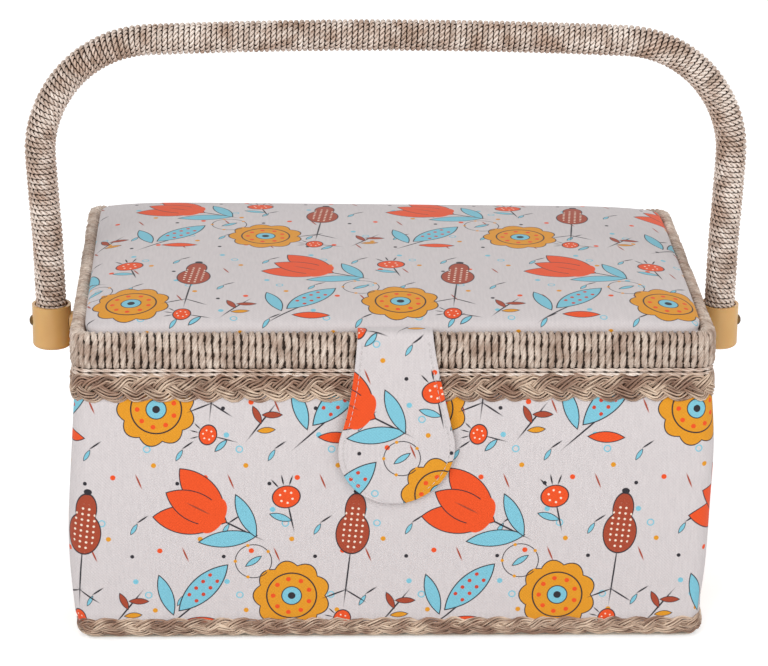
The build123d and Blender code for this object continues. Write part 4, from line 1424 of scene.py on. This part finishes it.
@dataclass
class ClosingTab:
    """The bell-shaped cloth tab: two layers turned in at the edge, stitched round, over the lid's rim."""

    top_half: float = 17.3
    bowl_radius: float = 27.2
    bowl_centre: float = 98.25
    waist_half: float = 21.4
    waist: float = 126.25
    flare: float = 10.5
    root: float = 155.35
    front_y: float = -102.2
    thick: float = 0.98
    stitch_inset: float = 2.4
    stitch_length: float = 2.3
    stitch_step: float = 3.0
    skew: float = 1.45
    tip: float = 71.05
    over_rim: float = 155.05
    bend_radius: float = 1.9
    groove: float = 0.34
    print_start: tuple = (171.0, 18.0)

    def spine(self) -> np.ndarray:
        """Draw the middle line from inside the rim, over it by a quarter circle and down the front.

        Returns:
            Points of the line, as y and z.
        """
        inner = [[-92.75, 148.5], [-92.75, 151.5], [-92.9, 153.6], [-93.6, 154.75]]
        over = [[-95.2, self.over_rim], [-98.0, self.over_rim]]
        turn = np.linspace(math.pi / 2, math.pi, 9)
        middle = np.array([self.front_y, self.over_rim]) + self.bend_radius * np.array([1, -1])
        bend = middle + self.bend_radius * np.stack([np.cos(turn), np.sin(turn)], -1)
        down = np.stack([np.full(80, self.front_y), np.linspace(152.0, self.tip, 80)], -1)
        return np.concatenate([inner, over, bend, down])

    def shift(self, height: np.ndarray) -> np.ndarray:
        """Give how far the tab hangs to the right at a height: nothing at the rim, then more, then less."""
        return 0.3 + self.skew * np.sin(math.pi * ramp(height, 155.0, -84)) ** 1.5

    def half_width(self, height: np.ndarray) -> np.ndarray:
        """Give half the tab's width: a parabola through root, waist and bowl, then the bowl's circle.

        Args:
            height: Heights on the hanging part.

        Returns:
            Half the width at each height.
        """
        rim = math.radians(self.flare)
        bowl_x = self.bowl_radius * math.cos(rim)
        bowl_z = self.bowl_centre + self.bowl_radius * math.sin(rim)
        curve = np.polyfit([bowl_z, self.waist, self.root], [bowl_x, self.waist_half, self.top_half], 2)
        upper = np.polyval(curve, np.minimum(height, self.root))
        drop = np.clip((height - self.bowl_centre) / self.bowl_radius, -1, 1)
        return np.where(height > bowl_z, upper, self.bowl_radius * np.sqrt(1 - drop**2))

    def rows(self) -> tuple[np.ndarray, np.ndarray, np.ndarray]:
        """Space rows along the middle line, closer together in the bowl.

        Returns:
            The rows' y and z, half widths and lengths along the line.
        """
        spine = self.spine()
        total = length_so_far(spine)[-1]
        bowl = self.bowl_radius * (1 - np.cos(np.linspace(0, math.pi / 2, 26)))[::-1]
        way = np.concatenate([np.linspace(0, total - self.bowl_radius, 92)[:-1], total - bowl])
        middle = at_lengths(spine, way)
        hanging = np.where(middle[:, 0] < -101.5, middle[:, 1], self.root)
        return middle, np.maximum(self.half_width(hanging), 0.05), way

    def build(self) -> bpy.types.Object:
        """Sew the tab: carry its section along the middle line.

        The section's faces are flat, sink by a bell curve at the stitching and are rounded off at the
        turned edge by powers of the angle's cosine and sine.

        Returns:
            The tab.
        """
        middle, half, way = self.rows()
        half = half[:, None]
        angle = (np.arange(64) + 0.5) * TAU / 64
        across = np.sign(np.cos(angle)) * np.abs(np.cos(angle)) ** 0.55
        outward = np.sign(np.sin(angle)) * np.abs(np.sin(angle)) ** 0.32
        along = unit(np.gradient(middle, axis=0))
        normal = np.stack([along[:, 1], -along[:, 0]], -1)[:, None]
        edge = half * (1 - np.abs(across))
        plump = self.thick * (1 + 0.14 * ramp(edge, 0, 8)) - self.groove * bell(edge, self.stitch_inset, 0.55)
        rooted = 0.72 + 0.28 * ramp(way, 6, 14)[:, None]
        stand = outward * plump * rooted * np.clip(half / 3.0, 0.05, 1)
        x = half * across + self.shift(middle[:, 1:])
        places = np.concatenate([x[..., None], middle[:, None] + normal * stand[..., None]], -1)[None]
        u = np.concatenate([x, x[:, :1]], 1) + self.print_start[0]
        v = np.broadcast_to((way[-1] - way)[:, None], u.shape) + self.print_start[1]
        tab = surface("closing_tab", places, np.stack([u, v], -1)[None] * MM, closed_columns=True, flip=True)
        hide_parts("tab_front_cloth", "tab_back_cloth", "tab_root")
        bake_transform(tab)
        return tab

    def seam(self) -> np.ndarray:
        """Draw the stitched line on the hanging face, down one side and up the other.

        Returns:
            Points of the line, as x and z.
        """
        bowl, joint = self.bowl_radius - self.stitch_inset, 3.0
        side_z = np.linspace(152.0, self.bowl_centre + joint, 60)
        side_x = self.half_width(side_z) - self.stitch_inset
        start = math.asin(joint / bowl)
        angle = np.linspace(start, -math.pi - start, 90)
        x = np.concatenate([side_x, bowl * np.cos(angle), -side_x[::-1]])
        z = np.concatenate([side_z, self.bowl_centre + bowl * np.sin(angle), side_z[::-1]])
        return np.stack([x + self.shift(z), z], -1)

    def stitches(self) -> bpy.types.Object:
        """Stitch round the tab: each stitch is a short thread that dips into the cloth at both ends.

        Returns:
            The thread, which stands out by a power of half a sine wave.
        """
        seam, sides = self.seam(), 6
        starts = np.arange(0.5, length_so_far(seam)[-1] - self.stitch_length, self.stitch_step)
        share = np.linspace(0, 1, 6)
        way = starts[:, None] + share * self.stitch_length
        stand = np.broadcast_to(np.sin(math.pi * share) ** 0.6, way.shape)
        middle = np.insert(at_lengths(seam, way), 1, self.front_y - 0.62 - 0.22 * stand, axis=-1)
        along = unit(np.gradient(middle, axis=1))
        across = unit(np.cross(along, -BACK))
        radius = 0.13 * (0.35 + 0.65 * stand)
        rings = carried(middle, across, np.cross(across, along), (radius, radius), sides)
        mapped = tube_map(np.broadcast_to(share * self.stitch_length, way.shape), sides)
        return mount(surface("tab_stitches", rings, mapped, closed_columns=True), "tab")


@dataclass
class WoundHandle:
    """The tall handle: a steel core wound from cuff to cuff with one twisted cord."""

    spacing: float = 328.0
    top: float = 270.2
    crown: float = 3.0
    corner: float = 53.5
    lean: float = 4.6
    shift: float = -0.7
    leg_bow: float = 1.5
    bend: float = 175.95
    bend_run: float = 6.6
    bow_straight: float = 1.0
    start: float = 131.5
    core_radius: float = 5.85
    radius: float = 6.42
    pitch: float = 2.58
    twist: Twist = Twist(4.9, 0.6, (0.66, 0.9), 4)
    stations: int = 54

    def route(self) -> np.ndarray:
        """Trace the middle line from the left cuff over the bow to the right cuff.

        The corners of the line are rounded by arcs: two gentle ones where the legs lean out, two large
        ones at the top, and one very wide one along the bow. Above the cuffs the whole line lies a
        little to the left, and the legs bow outwards as the squared sine of their height.

        Returns:
            Points of the line, as x and z.
        """
        corner_x = self.spacing / 2 + self.lean
        corner_z = self.top - self.crown * corner_x / (corner_x - self.corner)
        crown_z = self.top + self.crown
        crown_slope = math.atan2(crown_z - corner_z, corner_x)
        leg_turn = math.atan2(self.lean, corner_z - self.bend)
        corner_run = self.corner * math.tan((math.pi / 2 + leg_turn - crown_slope) / 2)
        crown_run = math.hypot(corner_x, crown_z - corner_z) - corner_run - self.bow_straight
        right = np.array(
            [
                (0.0, crown_z, crown_run / math.tan(crown_slope)),
                (corner_x, corner_z, self.corner),
                (self.spacing / 2, self.bend, self.bend_run / math.tan(leg_turn / 2)),
                (self.spacing / 2, self.start, 0.0),
            ]
        )
        line = rounded_line(np.concatenate([right[:0:-1] * [-1, 1, 1], right]), 0.5)
        line[:, 0] += self.shift * ramp(line[:, 1], 150, 60)
        line[:, 0] += self.leg_bow * np.sin(math.pi * ramp(line[:, 1], 136, 118)) ** 2 * np.sign(line[:, 0])
        return line

    def build(self) -> bpy.types.Object:
        """Wind the cord: a helix of small pitch round the middle line, twisted from two strands.

        Returns:
            The winding.
        """
        line = self.route()
        total = length_so_far(line)[-1]
        turns = int(total / self.pitch)
        count = turns * self.stations
        way = np.linspace(0, total, count)
        angle = (0.22 * wander(count, 160, 51) - TAU * turns * way / total)[:, None]
        flat = at_lengths(line, way)
        near = 40
        even = np.ones(2 * near + 1) / (2 * near + 1)
        rough = np.pad(unit(np.gradient(flat, axis=0)), ((near, near), (0, 0)), "edge")
        along = unit(np.stack([np.convolve(part, even, "valid") for part in rough.T], -1))
        side = np.insert(along[:, ::-1] * [1, -1], 1, 0, axis=1)
        out = np.cos(angle) * side + np.sin(angle) * BACK
        reach = self.radius + 0.08 * wander(count, 300, 52)
        path = np.insert(flat, 1, 0, axis=1) + reach[:, None] * out
        rings, mapped = self.twist.lay(path, out, closed=False)
        LOG.info("handle winding: %d turns of cord, %.1f m long", turns, float(mapped[0, -1, 0, 0]))
        cord = surface("handle_winding", rings, mapped, closed_columns=True)
        return mount(cord, "handle", "handle_wrap", "wrap_turns_left", "wrap_turns_right")

    def core(self) -> bpy.types.Object:
        """Cover the steel core with a dark tube on the same line, which paints the shade between the turns.

        Returns:
            The tube.
        """
        line, sides = self.route(), 24
        way = np.linspace(0, length_so_far(line)[-1], 460)
        middle = np.insert(at_lengths(line, way), 1, 0, axis=1)
        across = np.cross(unit(np.gradient(middle, axis=0)), BACK)
        rings = carried(middle, across, BACK, (self.core_radius, self.core_radius), sides)[None]
        tube = surface("wrapped_core", rings, tube_map(way[None], sides), closed_columns=True)
        return mount(tube, "handle", "handle_core")


def rounded_line(knots: np.ndarray, step: float) -> np.ndarray:
    """Round a line's corners: each is replaced by the arc of its radius that touches both of its runs.

    Args:
        knots: Corners as x, z and radius.
        step: Distance between points on the arcs.

    Returns:
        Points x 2.
    """
    places, radii = knots[:, :2], knots[:, 2]
    out = [places[:1]]
    for i in range(1, len(knots) - 1):
        before, after = unit(places[i - 1] - places[i]), unit(places[i + 1] - places[i])
        half = math.acos(float(np.clip(before @ after, -1, 1))) / 2
        reach = radii[i] / math.tan(half)
        centre = places[i] + unit(before + after) * radii[i] / math.sin(half)
        first, last = (math.atan2(*(places[i] + run * reach - centre)[::-1]) for run in (before, after))
        sweep = (last - first + math.pi) % TAU - math.pi
        angle = first + sweep * np.linspace(0, 1, max(3, int(abs(sweep) * radii[i] / step)))
        out.append(centre + radii[i] * np.stack([np.cos(angle), np.sin(angle)], -1))
    return np.concatenate([*out, places[-1:]])


# Studio


@dataclass(frozen=True)
class Studio:
    """White floor, soft lamps and the camera where the photograph was taken."""

    focal_pixels: float = 3347.1
    picture_width: int = 768
    place: tuple = (-0.0614, -1.5552, 0.6620)
    pitch: float = 19.2
    yaw: float = -2.22
    roll: float = 0.67
    aim: tuple = (0.0, 0.0, 0.1)
    room_light: float = 0.62

    def stand(
        self, data: bpy.types.ID, place: tuple, right: np.ndarray, back: np.ndarray
    ) -> bpy.types.Object:
        """Put a camera or lamp in the room.

        Args:
            data: The camera or lamp.
            place: Where it stands, in metres.
            right: Its own direction to the right.
            back: The direction away from what it looks at.

        Returns:
            The new object.
        """
        thing = bpy.data.objects.new(data.name, data)
        turned = np.eye(4)
        turned[:3] = np.stack([right, np.cross(back, right), back, place], -1)
        thing.matrix_world = Matrix(turned.tolist())
        bpy.context.scene.collection.objects.link(thing)
        return thing

    def camera(self) -> None:
        """Set the camera up from its place, pitch, yaw and roll."""
        pitch, yaw, roll = (math.radians(angle) for angle in (self.pitch, self.yaw, self.roll))
        level = np.array([math.cos(yaw), math.sin(yaw), 0.0])
        ahead = math.cos(pitch) * np.cross(UP, level) - math.sin(pitch) * UP
        data = bpy.data.cameras.new("camera")
        data.sensor_width = 36.0
        data.lens = self.focal_pixels / self.picture_width * data.sensor_width
        data.clip_start, data.clip_end = 0.05, 20
        right = math.cos(roll) * level + math.sin(roll) * np.cross(level, ahead)
        bpy.context.scene.camera = self.stand(data, self.place, right, -ahead)

    def lamp(self, name: str, place: tuple, size: float, watts: float) -> None:
        """Hang a soft square lamp that looks at the box.

        Args:
            name: What the lamp is called.
            place: Where it hangs, in metres.
            size: Its width in metres.
            watts: Its power.
        """
        data = bpy.data.lights.new(name, "AREA")
        data.energy, data.size = watts, size
        back = unit(np.subtract(place, self.aim))
        self.stand(data, place, unit(np.cross(UP, back)), back)

    def world(self) -> None:
        """Fill the room with even light, and show plain white behind the object and in its reflections."""
        world = bpy.data.worlds.new("studio")
        bpy.context.scene.world = world
        world.use_nodes = True
        tree = world.node_tree
        tree.nodes.clear()
        path = add_node(tree, "ShaderNodeLightPath", {}).outputs
        shown = Field(tree, path["Is Camera Ray"]).work("MAXIMUM", path["Is Glossy Ray"])
        shown = shown.work("MAXIMUM", path["Is Transmission Ray"])
        strength = shown.work("MULTIPLY_ADD", 1.0 - self.room_light, self.room_light)
        light = add_node(tree, "ShaderNodeBackground", {0: "#FFFFFF", 1: strength})
        add_node(tree, "ShaderNodeOutputWorld", {0: light.outputs[0]})

    def floor(self) -> None:
        """Lay a white floor that keeps the object's shadow, a little under its feet."""
        far, level = 6000.0, -0.3
        x, y = np.meshgrid([-far, far], [-far, far])
        places = np.stack([x, y, np.full(x.shape, level)], -1)[None]
        floor = surface("studio_floor", places, places[..., :2] * MM)
        material = bpy.data.materials.new("white_sweep")
        material.use_nodes = True
        tree = material.node_tree
        tree.nodes.clear()
        seen = add_node(tree, "ShaderNodeLightPath", {}).outputs["Is Camera Ray"]
        glow = add_node(tree, "ShaderNodeEmission", {0: "#FFFFFF", 1: Field(tree, seen) * 0.42})
        matt = add_node(tree, "ShaderNodeBsdfDiffuse", {0: "#F4F4F4"})
        both = add_node(tree, "ShaderNodeAddShader", {0: glow.outputs[0], 1: matt.outputs[0]})
        add_node(tree, "ShaderNodeOutputMaterial", {0: both.outputs[0]})
        floor.data.materials.append(material)

    def build(self) -> None:
        """Set up the whole studio."""
        bpy.context.scene.view_settings.view_transform = "Standard"
        self.camera()
        self.world()
        self.floor()
        self.lamp("key_lamp", (-0.95, -1.6, 1.2), 1.3, 19.0)
        self.lamp("fill_lamp", (1.4, -1.2, 0.9), 1.4, 11.0)
        self.lamp("back_lamp", (0.3, 1.5, 1.5), 1.2, 4.0)


def main() -> None:
    """Build the studio and each sub-assembly, dress them, and report each piece."""
    logging.basicConfig(level=logging.INFO, format="%(name)s: %(message)s")
    Studio().build()
    wardrobe = Wardrobe()
    wardrobe.dress_nodes()

    box, lid, tab, handle, cords = CoveredBox(), PaddedLid(), ClosingTab(), WoundHandle(), RimCords()
    rim = Plait("rim_plait", "rim_braid", 127.6, 1.3, 0.0, 60, top=9.7, reach=4.6)
    foot = Plait("base_plait", "base_braid", 6.3, 2.1, 3.0, 70, reach=2.9, deep=0.62, bundle=(1.85, 0.45))
    pieces = (
        (box.cover(), "printed_cotton", "printed_cloth"),
        (box.lining(), "lining_cotton", "lining_cloth"),
        (box.floor(), "lining_cotton", "lining_cloth"),
        (rim.build(), "seagrass_plait", "plait"),
        # Dark strip under the rim plait: its colour paints the shade between the bundles
        (rim.shade_strip(), "jute_backing", "wood"),
        (foot.build(), "seagrass_plait", "plait"),
        # Dark strip under the base plait: its colour paints the shade between the bundles
        (foot.shade_strip(), "jute_backing", "wood"),
        (cords.build(0, "rim_twist_lower", "rim_cord_lower", 134.0), "handle_paper_cord", "paper_cord"),
        (cords.build(1, "rim_twist_upper", "rim_cord_upper", 136.1), "handle_paper_cord", "paper_cord"),
        (LidBand().build(), "band_paper_cord", "paper_cord"),
        (lid.panel(), "printed_cotton", "printed_cloth"),
        (lid.lining(), "lining_cotton", "lining_cloth"),
        (lid.pocket(), "lining_cotton", "lining_cloth"),
        (lid.elastic(), "elastic_webbing", "lining_cloth"),
        (lid.cushion(), "pincushion_cotton", "lining_cloth"),
        (tab.build(), "printed_cotton", "printed_cloth"),
        (tab.stitches(), "stitching_thread", "printed_cloth"),
        (handle.build(), "handle_paper_cord", "paper_cord"),
        # The core's dark colour paints the shade between the handle's turns
        (handle.core(), "jute_backing", "steel"),
    )
    for piece, finish, slot in pieces:
        wardrobe.dress(piece, finish)
        LOG.info("%s: %d faces", piece.name, len(piece.data.polygons))
    for node in frame["nodes"].values():
        LOG.info("%s: carried over%s", node.name, ", not shown" if node.hide_render else "")


if __name__ == "__main__":
    main()
